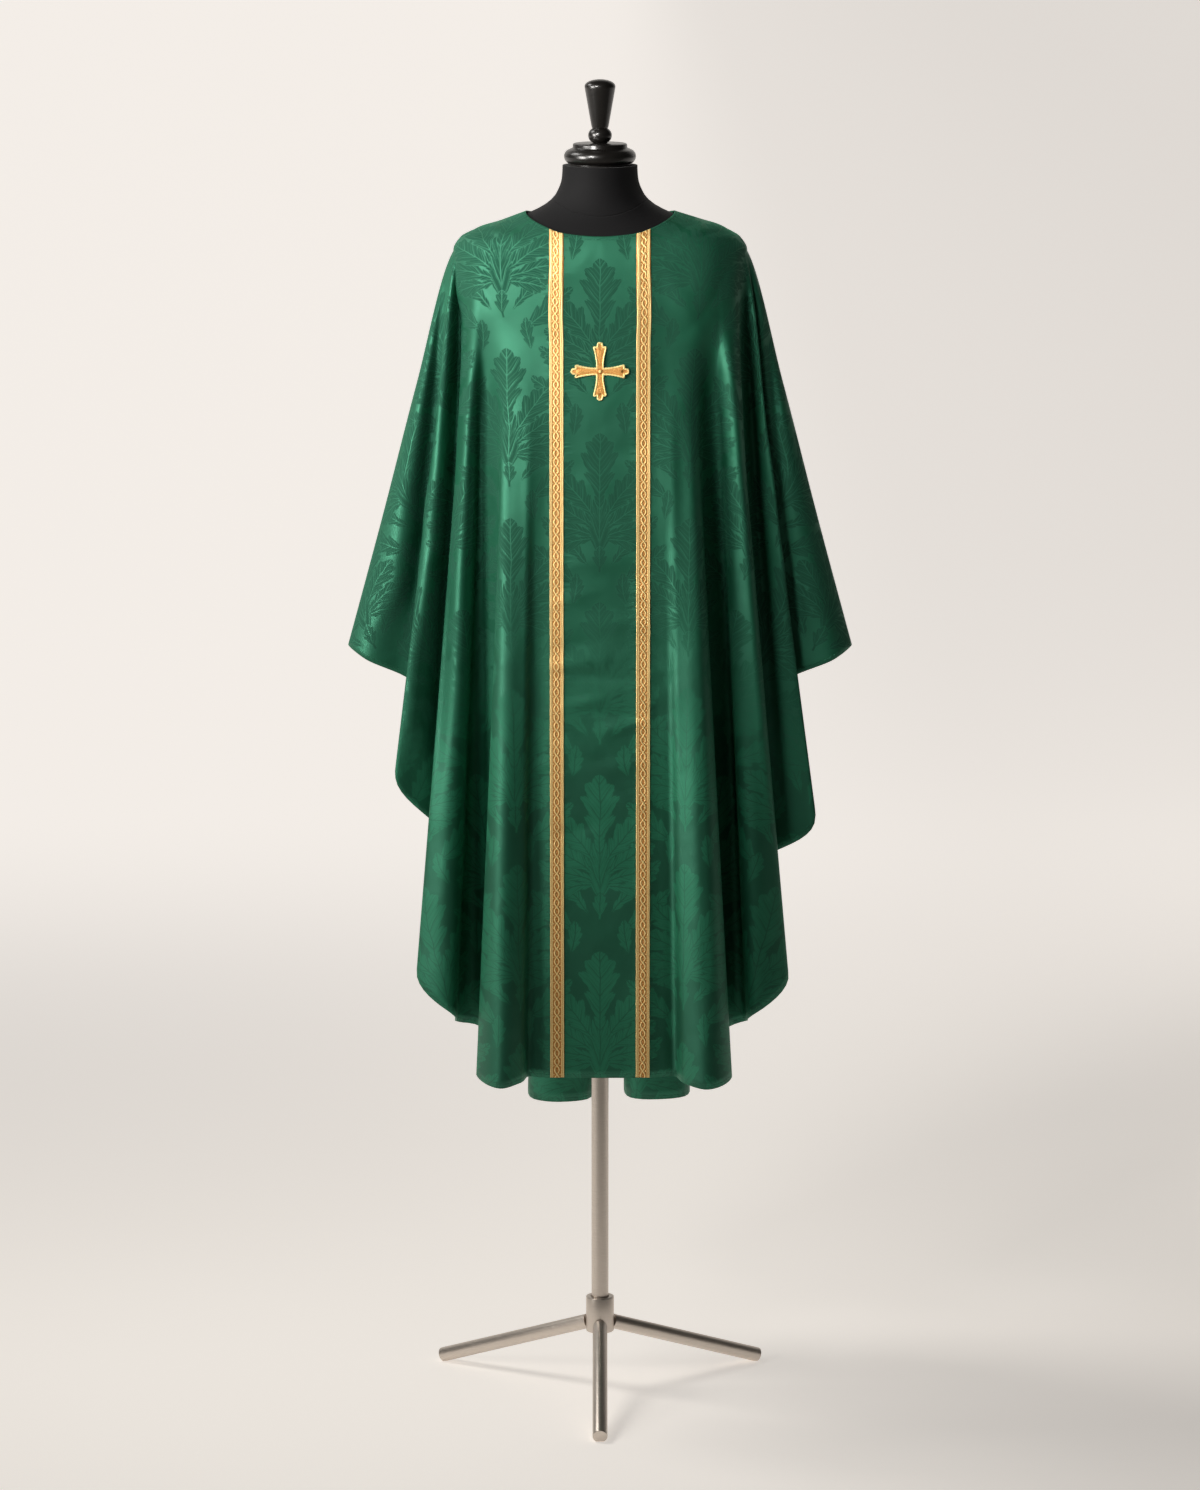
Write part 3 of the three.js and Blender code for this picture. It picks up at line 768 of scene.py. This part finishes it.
# The cloth: how finely it is built, its thickness, how far each panel stops short of a seam, the
# middle of a galloon and how far from it the cloth puckers
FINER_DOWN, FINER_ACROSS = 7, 4
CLOTH = dict(thick=1.6, seam=0.18, braid=62.5, pucker=17)
coarse = Cloth(1, 1)
fine = Cloth(FINER_ACROSS, FINER_DOWN)

# Creases too small for the solid: the middle (x, z) on the front or back, half the length along the
# crease, half its width, its height off the cloth and its tilt from level
CREASE_COLUMNS = ("x", "z", "along", "across", "height", "tilt")
FRONT_CREASES = table(CREASE_COLUMNS, (
    (-10, 1282, 46, 14, 2.6, 8), (28, 1258, 34, 13, -2.4, -14), (-34, 1230, 28, 9, 2.4, 20),
    (18, 1190, 44, 11, 2.6, -6), (-24, 1132, 36, 9, 3.4, 6), (-6, 1112, 50, 8, -3.6, -4),
    (-22, 1074, 32, 8, 3.2, 14), (14, 1058, 44, 8, -3.6, -8), (30, 1038, 30, 8, 3.0, 12),
    (-30, 1006, 28, 10, 2.2, -18), (36, 928, 26, 9, 3.0, -16), (-34, 888, 28, 9, -2.8, 14),
    (8, 842, 44, 16, 2.4, 5), (32, 782, 28, 15, 2.6, -12), (-20, 716, 36, 16, 2.0, 9),
    (12, 640, 40, 16, -1.8, -6), (-12, 1390, 40, 14, 1.8, -9), (26, 1440, 32, 14, -1.6, 12),
    (30, 1330, 32, 13, 2.0, -10), (-30, 1160, 28, 9, -2.2, 10), (24, 980, 36, 10, 2.0, 8),
    (88, 1262, 16, 6, 1.5, 10), (92, 1216, 14, 6, -1.4, -20), (90, 1120, 18, 6, 1.5, 14),
    (86, 1064, 14, 6, -1.3, -8), (-92, 1180, 16, 7, 1.2, -12), (-88, 980, 14, 7, 1.1, 16),
    (-262, 1330, 110, 14, 2.4, 68), (276, 1340, 110, 14, 2.2, 112),
    (-300, 1220, 70, 13, 2.4, 58), (306, 1210, 80, 14, 2.6, 120),
    (-130, 640, 90, 15, 2.4, 88), (150, 660, 100, 14, -2.6, 92), (-230, 800, 80, 13, 2.4, 84),
    (228, 830, 90, 13, 2.4, 95), (-60, 1690, 40, 12, 1.2, 30), (120, 1650, 60, 14, 1.6, 120),
    (-150, 1640, 70, 22, 0.8, 62), (150, 1650, 110, 42, 9.0, 90),
))
BACK_CREASES = table(CREASE_COLUMNS, (
    (-40, 1560, 60, 14, 1.4, 12), (50, 1500, 50, 13, -1.2, -10), (-10, 1420, 60, 15, 1.3, 4),
    (-96, 1480, 130, 14, 2.8, 86), (90, 1450, 120, 13, 2.6, 94), (-170, 1300, 150, 15, 3.2, 84),
    (176, 1290, 160, 15, 3.0, 97), (-258, 1330, 110, 14, 3.0, 70), (262, 1320, 110, 14, 3.2, 110),
    (-300, 1200, 70, 13, 2.2, 60), (298, 1190, 80, 14, 2.4, 121), (-120, 900, 120, 14, 2.6, 87),
    (110, 880, 120, 14, -2.4, 92), (-220, 760, 90, 13, 2.4, 85), (214, 740, 90, 13, 2.2, 94),
    (-50, 640, 60, 14, 1.4, 20), (40, 560, 60, 14, 1.2, -16), (-130, 1640, 60, 14, 1.6, 60),
    (134, 1630, 60, 14, 1.6, 122), (0, 1180, 60, 15, -1.2, 8),
))

# Folds sharper than the solid's: a path down the cloth through three places (x, z), its half width
# and its height away from the form, below zero for a trough. Both ends die away, within these
# shares of the path.
FOLD_COLUMNS = ("x", "z", "middle_x", "middle_z", "low_x", "low_z", "across", "height")
FOLD_ENDS = dict(high=0.1, low=0.3)
FRONT_FOLDS = table(FOLD_COLUMNS, (
    (-222, 1730, -249, 1439, -279, 1100, 9, -12), (-212, 1730, -238, 1439, -264, 1120, 11, 3),
    (-200, 1740, -216, 1330, -248, 860, 12, -34), (-180, 1600, -209, 1330, -254, 820, 15, 12),
    (-170, 1650, -179, 1200, -186, 100, 26, -26), (-146, 1500, -149, 1100, -178, 380, 15, 8),
    (-255, 1580, -284, 1360, -312, 1130, 16, 7), (-250, 1300, -272, 1110, -278, 960, 15, 8),
    (-96, 1560, -98, 1100, -102, 100, 17, 9), (96, 1560, 98, 1100, 102, 100, 17, 9),
    (150, 1640, 182, 1200, 205, 100, 19, -17), (130, 1500, 152, 1080, 176, 500, 11, 4),
    (182, 1630, 222, 1240, 270, 760, 13, 13), (206, 1735, 234, 1280, 270, 780, 10, -16),
    (230, 1640, 263, 1319, 282, 1120, 9, 6), (240, 1640, 272, 1319, 296, 1100, 8, -7),
))
BACK_FOLDS = table(FOLD_COLUMNS, (
    (-70, 1500, -74, 1100, -70, 300, 20, -9), (76, 1520, 70, 1050, 60, 300, 20, -9),
    (-160, 1620, -176, 1150, -150, 400, 16, -12), (164, 1600, 182, 1180, 156, 400, 16, -12),
    (-196, 1620, -222, 1250, -258, 800, 12, 9), (200, 1640, 226, 1260, 266, 780, 12, 9),
    (-214, 1700, -240, 1300, -268, 860, 10, -11), (220, 1690, 244, 1290, 274, 860, 10, -11),
))


# How far creases raise each point; each crease bends a little to either side of its line
def crease_heights(points, creases):
    lift = np.zeros(points.shape[:2])
    for row in creases:
        c, s = math.cos(math.radians(row["tilt"])), math.sin(math.radians(row["tilt"]))
        dx, dz = points[:, :, 0] - row["x"], points[:, :, 2] - row["z"]
        along, off = dx * c + dz * s, dz * c - dx * s
        off = off + 0.12 * row["across"] * np.sin(along / row["along"] * 3)
        lift += row["height"] * np.exp(-(along / row["along"]) ** 2 - (off / row["across"]) ** 2)
    return lift


# How far folds raise each point
def fold_heights(points, folds):
    lift = np.zeros(points.shape[:2])
    z = points[:, :, 2]
    for row in folds:
        heights = [row["z"], row["middle_z"], row["low_z"]]
        path = np.polyfit(heights, [row["x"], row["middle_x"], row["low_x"]], 2)
        off = points[:, :, 0] - np.polyval(path, z)
        share = np.clip((z - row["low_z"]) / (row["z"] - row["low_z"]), 0, 1)
        fade = np.clip(np.minimum(share / FOLD_ENDS["low"], (1 - share) / FOLD_ENDS["high"]), 0, 1)
        lift += row["height"] * np.exp(-(off / row["across"]) ** 2) * fade * fade * (3 - 2 * fade)
    return lift


# Lays creases and folds on one panel and keeps what they moved clear of the form; the panel runs
# from one side line to the other, and facing is -1 in front and 1 behind
def shape_panel(start, end, facing, creases, folds):
    columns = fine.columns(fine.side[start], fine.side[end])
    points = fine.points[:, columns]
    before = points.copy()
    points = points + fine.normals()[:, columns] * crease_heights(before, creases)[:, :, None]
    points[:, :, 1] += facing * fold_heights(before, folds)
    moved = 0.3
    for i, k in np.argwhere(np.linalg.norm(points - before, axis=2) > moved):
        points[i, k] = clear_of_form(points[i, k])
    fine.points[:, columns] = points


shape_panel("right", "left", -1, FRONT_CREASES, FRONT_FOLDS)
shape_panel("left", "right", 1, BACK_CREASES, BACK_FOLDS)
fine_normals = fine.normals()


# One panel of cloth from side line to side line; middle is its centre column on the coarse cloth
def cloth_panel(name, node, start, end, middle):
    flat = flat_layout(coarse.panel(coarse.points, coarse.side[start], coarse.side[end]), middle)
    u, v = [refined(flat[:, :, k], FINER_DOWN, FINER_ACROSS) for k in (0, 1)]
    points = fine.panel(fine.points, fine.side[start], fine.side[end])
    lengths = np.linalg.norm(np.diff(points, axis=0), axis=2)[::-1].cumsum(axis=0)[::-1]
    hem = np.vstack([lengths, np.zeros((1, points.shape[1]))])
    neck = hem[0] - hem
    for side, inner in ((0, 1), (-1, -2)):
        points[:, side] += unit(points[:, inner] - points[:, side]) * CLOTH["seam"]
    near_braid = np.abs(np.abs(u * 1000) - CLOTH["braid"]) / CLOTH["pucker"]
    pucker = np.exp(-near_braid ** 2) if node == "chasuble_front" else np.zeros_like(u)
    piece = laid_grid(name, points[::-1])
    set_uv(piece, u[::-1], v[::-1])
    for attribute_name, values in (("hem_mm", hem), ("neck_mm", neck), ("pucker", pucker)):
        set_attribute(piece, attribute_name, values[::-1])
    thicken(piece, CLOTH["thick"] * MM)
    finish_piece(piece, DAMASK_CLOTH, [node])


front_middle = -coarse.side["right"] % coarse.count
back_middle = coarse.starts[len(FRONT_LINES) + len(BACK_LINES)] - coarse.side["left"]
cloth_panel("chasuble_front_cloth", "chasuble_front", "right", "left", front_middle)
cloth_panel("chasuble_back_cloth", "chasuble_back", "left", "right", back_middle)


# Between the knots of a table of values, smoothly, at the places asked for
def smooth_between(values, places):
    last = len(values) - 1
    i = np.clip(np.floor(places).astype(int), 0, last - 1)
    t = (places - i).reshape(-1, *([1] * (values.ndim - 1)))
    before, here = values[np.maximum(i - 1, 0)], values[i]
    after, beyond = values[i + 1], values[np.minimum(i + 2, last)]
    bend = 2 * before - 5 * here + 4 * after - beyond
    turn = 3 * (here - after) + beyond - before
    return here + 0.5 * t * ((after - before) + t * (bend + t * turn))


# A galloon, woven in relief: twisted cords along both edges and a plait of two strands between them
GALLOON = dict(base=1.1, ground=0.35, step=0.72, columns=27, inset=1.2,
               cord=9.0, inner=6.7, pitch=3.0, plait=12.4)


# A half round of the given radius, 1 at its middle
def humped(distance, radius):
    return np.sqrt(np.clip(1 - (distance / radius) ** 2, 0, 1))


# Rises and falls once a turn, between 0 and 1
def wave(turns):
    return 0.5 + 0.5 * np.cos(2 * math.pi * turns)


# Height of the weave: outer and inner cords, two plaited strands, beads between them, ribbed ground
def galloon_relief(across, along):
    edge = np.abs(across)
    from_cord, from_inner = edge - GALLOON["cord"], edge - GALLOON["inner"]
    twist = wave(along / GALLOON["pitch"] + from_cord / 2.6)
    beads = wave(along / 2.4 - from_inner / 3)
    relief = 0.95 * humped(from_cord, 1.25) * (0.62 + 0.38 * twist)
    relief = np.maximum(relief, 0.8 * humped(from_inner, 0.95) * (0.6 + 0.4 * beads))
    swing = 3.5 * np.sin(math.pi * along / GALLOON["plait"])
    over = np.cos(math.pi * along / GALLOON["plait"])
    for hand in (1, -1):
        strand = humped(across - hand * swing, 1.35)
        ply = wave(along / 2.1 + hand * (across - hand * swing) / 2.2)
        relief = np.maximum(relief, strand * (0.85 + 0.2 * hand * over) * (0.75 + 0.25 * ply))
    middle = (np.abs((along / GALLOON["plait"]) % 1 - 0.5)) * GALLOON["plait"]
    bead = humped(np.sqrt(across ** 2 + middle ** 2), 1.0)
    side = humped(np.sqrt((edge - 4.6) ** 2 + (GALLOON["plait"] / 2 - middle) ** 2), 1.2)
    ribs = 0.12 * wave((along + edge) / 1.7)
    return np.maximum(relief, np.maximum(np.maximum(0.5 * bead, 0.7 * side), ribs))


def galloon(name, start, end, node):
    strip, out = fine.panel(fine.points, start, end), fine.panel(fine_normals, start, end)
    drop = np.linalg.norm(np.diff(strip[:, 0], axis=0), axis=1)
    length = np.concatenate([[0], np.cumsum(drop)])
    along = np.arange(GALLOON["inset"], length[-1] - GALLOON["inset"], GALLOON["step"])
    rows = np.interp(along, length, np.arange(len(length)))
    columns = np.linspace(0, strip.shape[1] - 1, GALLOON["columns"])

    def spread(grid):
        across_first = smooth_between(grid, rows).transpose(1, 0, 2)
        return smooth_between(across_first, columns).transpose(1, 0, 2)

    strip, out = spread(strip), spread(out)
    width = np.linalg.norm(strip[:, -1] - strip[:, 0], axis=1)
    across = (columns / columns[-1] - 0.5) * width[:, None]
    relief = galloon_relief(across, along[:, None] + np.zeros_like(across))
    height = GALLOON["base"] + GALLOON["ground"] + relief
    # How raised each point is; the gold's painted shade and painted highlight follow it
    raised = np.clip(relief / 0.9, 0, 1)
    top = strip + out * height[:, :, None]
    low = strip + out * GALLOON["base"]
    points = np.pad(top, ((1, 1), (1, 1), (0, 0)), mode="edge")
    rim = np.pad(low, ((1, 1), (1, 1), (0, 0)), mode="edge")
    for side in (0, -1):
        points[side], points[:, side] = rim[side], rim[:, side]
    raised = np.pad(raised, 1)
    piece = laid_grid(name, points[::-1])
    set_attribute(piece, "raised", raised[::-1])
    finish_piece(piece, GOLD, [node])


galloon("galloon_left_braid", fine.starts[1], fine.starts[2], "galloon_left")
galloon("galloon_right_braid", fine.count - fine.starts[2], fine.count - fine.starts[1], "galloon_right")

# The embroidered cross: a padded plate inside a twisted cord, with a bead at its centre
CROSS = dict(z=1556, reach=42.2, waist=4.9, flare=9.7, shoulder=34.5, nub=4.5)
PLATE_INSET = 0.6
PLATE_RINGS = ((0.02, 1.0), (0, 1.3), (0.02, 1.9), (0.25, 2.25), (0.5, 2.5), (0.75, 2.65), (1, 2.7))
CORD = dict(radius=1.25, strand=0.3, pitch=4.2, around=10, step=0.7, inset=1.0, height=2.3)


# The upper arm's outline, from its right side over the round tip and down its left side
def arm_outline():
    _, reach, waist, flare, shoulder, nub = CROSS.values()
    side = [(waist + (flare - waist) * share ** 1.7, waist + (shoulder - waist) * share)
            for share in (0, 0.25, 0.5, 0.75, 1)]
    side += [(flare * 0.86, shoulder + 1.6), (nub, shoulder + 0.6)]
    turns = [k * math.pi / 6 for k in range(1, 6)]
    tip = [(nub * math.cos(turn), reach - nub + nub * math.sin(turn)) for turn in turns]
    return np.array(side + tip + [(-x, y) for x, y in reversed(side)])[:-1]


# Repeats a shape on all four arms of the cross
def on_four_arms(points):
    arms = []
    for arm in range(4):
        c, s = math.cos(arm * math.pi / 2), math.sin(arm * math.pi / 2)
        arms.append(points @ np.array([[c, s], [-s, c]]))
    return np.concatenate(arms)


# Flat vectors turned a quarter to the left
def quarter_turned(vectors):
    return np.stack([-vectors[:, 1], vectors[:, 0]], axis=1)


def cross_outline(inset):
    points = on_four_arms(arm_outline())
    ahead, behind = np.roll(points, -1, axis=0) - points, points - np.roll(points, 1, axis=0)
    return points + unit(quarter_turned(unit(ahead) + unit(behind))) * inset


# Lays a flat shape (x, height above the cloth, z from the cross's centre) on the centre front
def on_centre_front(piece):
    mesh = piece.data
    points = np.empty(len(mesh.vertices) * 3)
    mesh.vertices.foreach_get("co", points)
    points = points.reshape(-1, 3) / MM
    line = fine.points[:, 0]
    z = CROSS["z"] + points[:, 2]
    y = np.interp(-z, -line[:, 2], line[:, 1])
    laid = np.stack([points[:, 0], y - points[:, 1], z], axis=1)
    mesh.vertices.foreach_set("co", (laid * MM).reshape(-1))
    mesh.update()


# Lays a part of the cross on the cloth with one level all over of the gold's painted light: 0 is the
# dark painted shade of the recesses, 1 the painted highlight of the raised cords
def finish_gold(piece, level, finish=GOLD, replaces=()):
    on_centre_front(piece)
    set_attribute(piece, "raised", np.full(len(piece.data.vertices), level))
    finish_piece(piece, finish, replaces)


# The padding rises like a hipped roof from the outline to a ridge along each arm
def cross_plate():
    edge = cross_outline(PLATE_INSET)
    arm = arm_outline()
    ridge_end = CROSS["reach"] - CROSS["nub"]
    ridge = np.stack([np.zeros(len(arm)), np.clip(arm[:, 1] - CROSS["waist"], 0, ridge_end)], axis=1)
    ridge = on_four_arms(ridge)
    rings = []
    for share, height in PLATE_RINGS:
        flat = edge + (ridge - edge) * share
        ring = np.stack([flat[:, 0], np.full(len(flat), height), flat[:, 1]], axis=1)
        rings.append(np.vstack([ring, ring[:1]]))
    piece = laid_grid("cross_plate", np.array(rings))
    close_mesh(piece, 0.02)
    finish_gold(piece, 0.3, GRAINED_GOLD, ["cross"])


def cross_cord():
    outline = cross_outline(CORD["inset"])
    closed = np.vstack([outline, outline[:1]])
    length = np.concatenate([[0], np.cumsum(np.linalg.norm(np.diff(closed, axis=0), axis=1))])
    turns = round(length[-1] / CORD["pitch"])
    count = int(length[-1] / CORD["step"])
    along = np.linspace(0, length[-1], count + 1)
    line = np.stack([np.interp(along, length, closed[:, k]) for k in (0, 1)], axis=1)
    ahead = np.roll(line[:-1], -1, axis=0) - np.roll(line[:-1], 1, axis=0)
    side = quarter_turned(unit(np.vstack([ahead, ahead[:1]])))
    rows = []
    for k in range(count + 1):
        ring = []
        for step in range(CORD["around"] + 1):
            angle = 2 * math.pi * step / CORD["around"]
            lobes = math.cos(2 * angle - 2 * math.pi * turns * k / count)
            radius = CORD["radius"] + CORD["strand"] * lobes
            x, z = line[k] + side[k] * radius * math.cos(angle)
            ring.append((x, CORD["height"] + radius * math.sin(angle), z))
        rows.append(ring)
    piece = laid_grid("cross_cord", np.array(rows))
    close_mesh(piece, 0.02)
    finish_gold(piece, 0.95)


def cross_beads():
    deselect_all()
    bpy.ops.mesh.primitive_uv_sphere_add(segments=20, ring_count=12, radius=2.4 * MM,
                                         location=(0, 2.9 * MM, 0))
    piece = named("cross_bead")
    apply_placing()
    finish_gold(piece, 1.0)
    bpy.ops.mesh.primitive_torus_add(major_segments=28, minor_segments=8,
                                     major_radius=3.3 * MM, minor_radius=0.7 * MM,
                                     location=(0, 2.4 * MM, 0), rotation=(math.pi / 2, 0, 0))
    piece = named("cross_bead_ring")
    apply_placing()
    # The ring round the bead gets the full painted shade of a recess
    finish_gold(piece, 0.0)


cross_plate()
cross_cord()
cross_beads()


# The form, a smooth loft through its sections
def dress_form():
    around, ring_gap = 96, 6
    heights = []
    for a, b in zip(FORM_SECTIONS, FORM_SECTIONS[1:]):
        steps = max(2, int((a["z"] - b["z"]) / ring_gap))
        heights += [a["z"] + (b["z"] - a["z"]) * k / steps for k in range(steps)]
    heights.append(FORM_BOTTOM)
    rings = []
    for z in heights:
        ring = []
        for k in range(around + 1):
            angle = k / around * 2 * math.pi
            s, c = math.sin(angle), -math.cos(angle)
            side, depth, square = section_at(z, c > 0, 0)
            ring.append((side * math.copysign(abs(s) ** (2 / square), s),
                         depth * math.copysign(abs(c) ** (2 / square), c), z))
        rings.append(ring)
    piece = laid_grid("dress_form", np.array(rings)[::-1])
    close_mesh(piece, 0.01)
    edit(piece)
    bpy.ops.mesh.select_all(action="DESELECT")
    bpy.ops.mesh.select_mode(type="EDGE")
    bpy.ops.mesh.select_non_manifold()
    bpy.ops.mesh.edge_face_add()
    close_mesh(piece, 0.01)
    finish_piece(piece, JERSEY, ["form_body"], angle=50)


# Edges of turned pieces and tubes that turn by more than this many degrees stay sharp
SHARP = 35


# A turned piece: a disc is drawn out ring by ring along a profile of (radius, height)
def turned_piece(name, profile_rows, finish, replaces, segments=64):
    deselect_all()
    radius, z = profile_rows[0]
    bpy.ops.mesh.primitive_circle_add(vertices=segments, radius=radius * MM, fill_type="NGON",
                                      location=(0, 0, z * MM))
    piece = named(name)
    edit(piece)
    bpy.ops.mesh.select_all(action="SELECT")
    for (r0, z0), (r1, z1) in zip(profile_rows, profile_rows[1:]):
        bpy.ops.mesh.extrude_region_move(TRANSFORM_OT_translate={"value": (0, 0, (z1 - z0) * MM)})
        ratio = r1 / r0
        bpy.ops.transform.resize(value=(ratio, ratio, 1), center_override=(0, 0, z1 * MM))
    close_mesh(piece, 0.001)
    finish_piece(piece, finish, replaces, SHARP)


# Part of an ellipse as profile rows; degrees count from level outwards
def arc_rows(centre_r, centre_z, radius_r, radius_z, degrees):
    rows = []
    for angle in degrees:
        t = math.radians(angle)
        rows.append((centre_r + radius_r * math.cos(t), centre_z + radius_z * math.sin(t)))
    return rows


def neck_cap():
    seat, radius, plate = 1843.3, 52.3, 39.5
    rim = arc_rows(radius - 9.5, seat + 12.4, 9.5, 10.4, range(-80, 73, 8))
    top = [(plate + 0.6, 24.8), (plate, 25.8), (plate, 29.4), (plate - 0.6, 30.6), (plate - 2, 31.3),
           (4, 31.4)]
    rows = [(radius - 8, seat)] + rim + [(r, seat + rise) for r, rise in top]
    turned_piece("neck_cap_turned", rows, LACQUER, ["neck_cap"], 72)


def finial():
    foot = 1875
    bead = arc_rows(7, foot + 11, 10.2, 11, range(-62, 68, 8))
    cup = [(12.2, 23), (12.6, 25), (13.2, 28), (22.0, 78), (22.35, 80.5), (22.3, 83),
           (21.4, 85.2), (19.4, 87.2), (16, 89.2), (11, 90.9), (5, 91.9), (1, 92.1)]
    rows = [(10.5, foot)] + bead + [(r, foot + rise) for r, rise in cup]
    turned_piece("finial_turned", rows, LACQUER, ["finial"])


def pole():
    radius, low, high = 12.7, 98.3, 929.7
    rows = [(radius - 0.5, low), (radius, low + 0.5), (radius, high - 0.5), (radius - 0.5, high)]
    turned_piece("pole_tube", rows, STEEL, ["pole"])


def hub():
    radius, bore, low, high = 21, 13.4, 88, 142
    rows = [(radius - 1.4, low), (radius - 0.4, low + 0.4), (radius, low + 1.4),
            (radius, high - 1.2), (radius - 0.35, high - 0.35), (radius - 1.2, high),
            (bore + 1.2, high), (bore + 0.35, high - 0.35), (bore, high - 1.2), (bore, 98)]
    turned_piece("hub_socket", rows, STEEL, ["hub"])


# Three tubes that slope down from the hub, each with a bevelled foot cut off level at the floor
def legs():
    radius, root_z, reach, slope = 11, 107, 279, math.radians(19.5)
    start, length = 22.5, reach / math.cos(slope)
    middle = (start + length) / 2
    across, rise = middle * math.cos(slope) * MM, (root_z - middle * math.sin(slope)) * MM
    for name, turn in (("leg_front", -90), ("leg_left", 30), ("leg_right", 150)):
        deselect_all()
        angle = math.radians(turn)
        bpy.ops.mesh.primitive_cylinder_add(vertices=48, radius=radius * MM,
                                            depth=(length - start) * MM, location=(0, 0, 0))
        piece = named(name + "_tube")
        mesh = edit(piece)
        bpy.ops.mesh.select_mode(type="FACE")
        bpy.ops.mesh.select_all(action="DESELECT")
        for face in mesh.faces:
            face.select_set(face.normal.z > 0.9)
        bmesh.update_edit_mesh(piece.data)
        bpy.ops.mesh.bevel(offset=1.1 * MM, segments=3, affect="EDGES")
        bpy.ops.object.mode_set(mode="OBJECT")
        piece.rotation_euler = (0, math.pi / 2 + slope, angle)
        piece.location = (across * math.cos(angle), across * math.sin(angle), rise)
        apply_placing()
        edit(piece)
        bpy.ops.mesh.select_all(action="SELECT")
        bpy.ops.mesh.bisect(plane_co=(0, 0, 0), plane_no=(0, 0, -1), use_fill=True,
                            clear_outer=True)
        bpy.ops.object.mode_set(mode="OBJECT")
        finish_piece(piece, STEEL, [name], SHARP)


# The studio: a wide pale floor with a soft glow of its own, dim in front of the object and bright
# behind it, as the sky is, so that the folds keep their dark sides. The soft lights: place, aim,
# side, power, colour and spread in degrees.
FLOOR = dict(half=900, front=0.04, near=0.47, far=0.25, left=0.08)
SKY = dict(behind=0.7, front=0.02)
LIGHTS = table(("name", "place", "aim", "size", "power", "tint", "spread"), (
    ("key", (-3.2, -1.9, 2.3), (-0.05, 0, 1.72), 1.7, 15.5, (1.0, 0.97, 0.93), 43),
    ("front", (-1.8, -3.2, 3.7), (0.06, 0, 1.98), 1.2, 7.2, (1.0, 0.98, 0.95), 32),
    ("ground", (-2.4, 0.6, 3.6), (-0.2, -0.2, 0), 1.4, 12, (1.0, 0.98, 0.95), 80),
))


def floor():
    deselect_all()
    bpy.ops.mesh.primitive_plane_add(size=2, location=(0, 0, -0.0005))
    bpy.context.object.scale = (FLOOR["half"], FLOOR["half"], 1)
    apply_placing()
    piece = named("floor")
    material, tree, shader = new_material("pale_paper")
    place = coordinate(tree, "Object")
    tone = mixed(tree, noise(tree, place, 1.5, 2), srgb(228, 222, 214), srgb(232, 227, 220))
    tree.links.new(tone, shader.inputs["Base Color"])
    fixed(shader, {
        "Roughness": 0.9,
        "Specular IOR Level": 0.1,
        "Emission Color": (*srgb(255, 249, 243), 1),
    })
    x, y, _ = split(tree, place)
    # The near glow is dimmer towards the right, as painted shade on the floor, and the far glow is
    # brighter towards the left, as painted light
    near = y.ramp(-1.1, -0.55) * (x.ramp(1.0, 0.0) * 0.18 + 0.82) * FLOOR["near"]
    far = y.ramp(0.6, 4.5) * (x.ramp(3.5, -1.0) * FLOOR["left"] + FLOOR["far"])
    glow = (near + far) * x.size().ramp(30, 8) + FLOOR["front"]
    tree.links.new(glow.socket, shader.inputs["Emission Strength"])
    piece.data.materials.append(material)


def soft_light(name, place, aim, size, power, tint, spread):
    data = bpy.data.lights.new(name, "AREA")
    data.spread = math.radians(spread)
    data.shape = "RECTANGLE"
    data.size = data.size_y = size
    data.energy = power
    data.color = tint
    light = bpy.data.objects.new(name, data)
    bpy.context.collection.objects.link(light)
    light.location = place
    towards = Vector(np.array(aim) - np.array(place))
    light.rotation_euler = towards.to_track_quat("-Z", "Y").to_euler()


def lights():
    world = bpy.data.worlds.new("studio")
    bpy.context.scene.world = world
    world.use_nodes = True
    tree = world.node_tree
    _, y, z = split(tree, coordinate(tree, "Generated"))
    shine = y.ramp(0.4, 0.9) * z.ramp(0.75, 0.3) * SKY["behind"] + SKY["front"]
    background = tree.nodes["Background"]
    background.inputs["Color"].default_value = (*srgb(248, 243, 236), 1)
    tree.links.new(shine.socket, background.inputs["Strength"])
    for row in LIGHTS:
        soft_light(**row)
    bpy.context.scene.view_settings.view_transform = "Standard"


dress_form()
neck_cap()
finial()
pole()
hub()
legs()
floor()
lights()
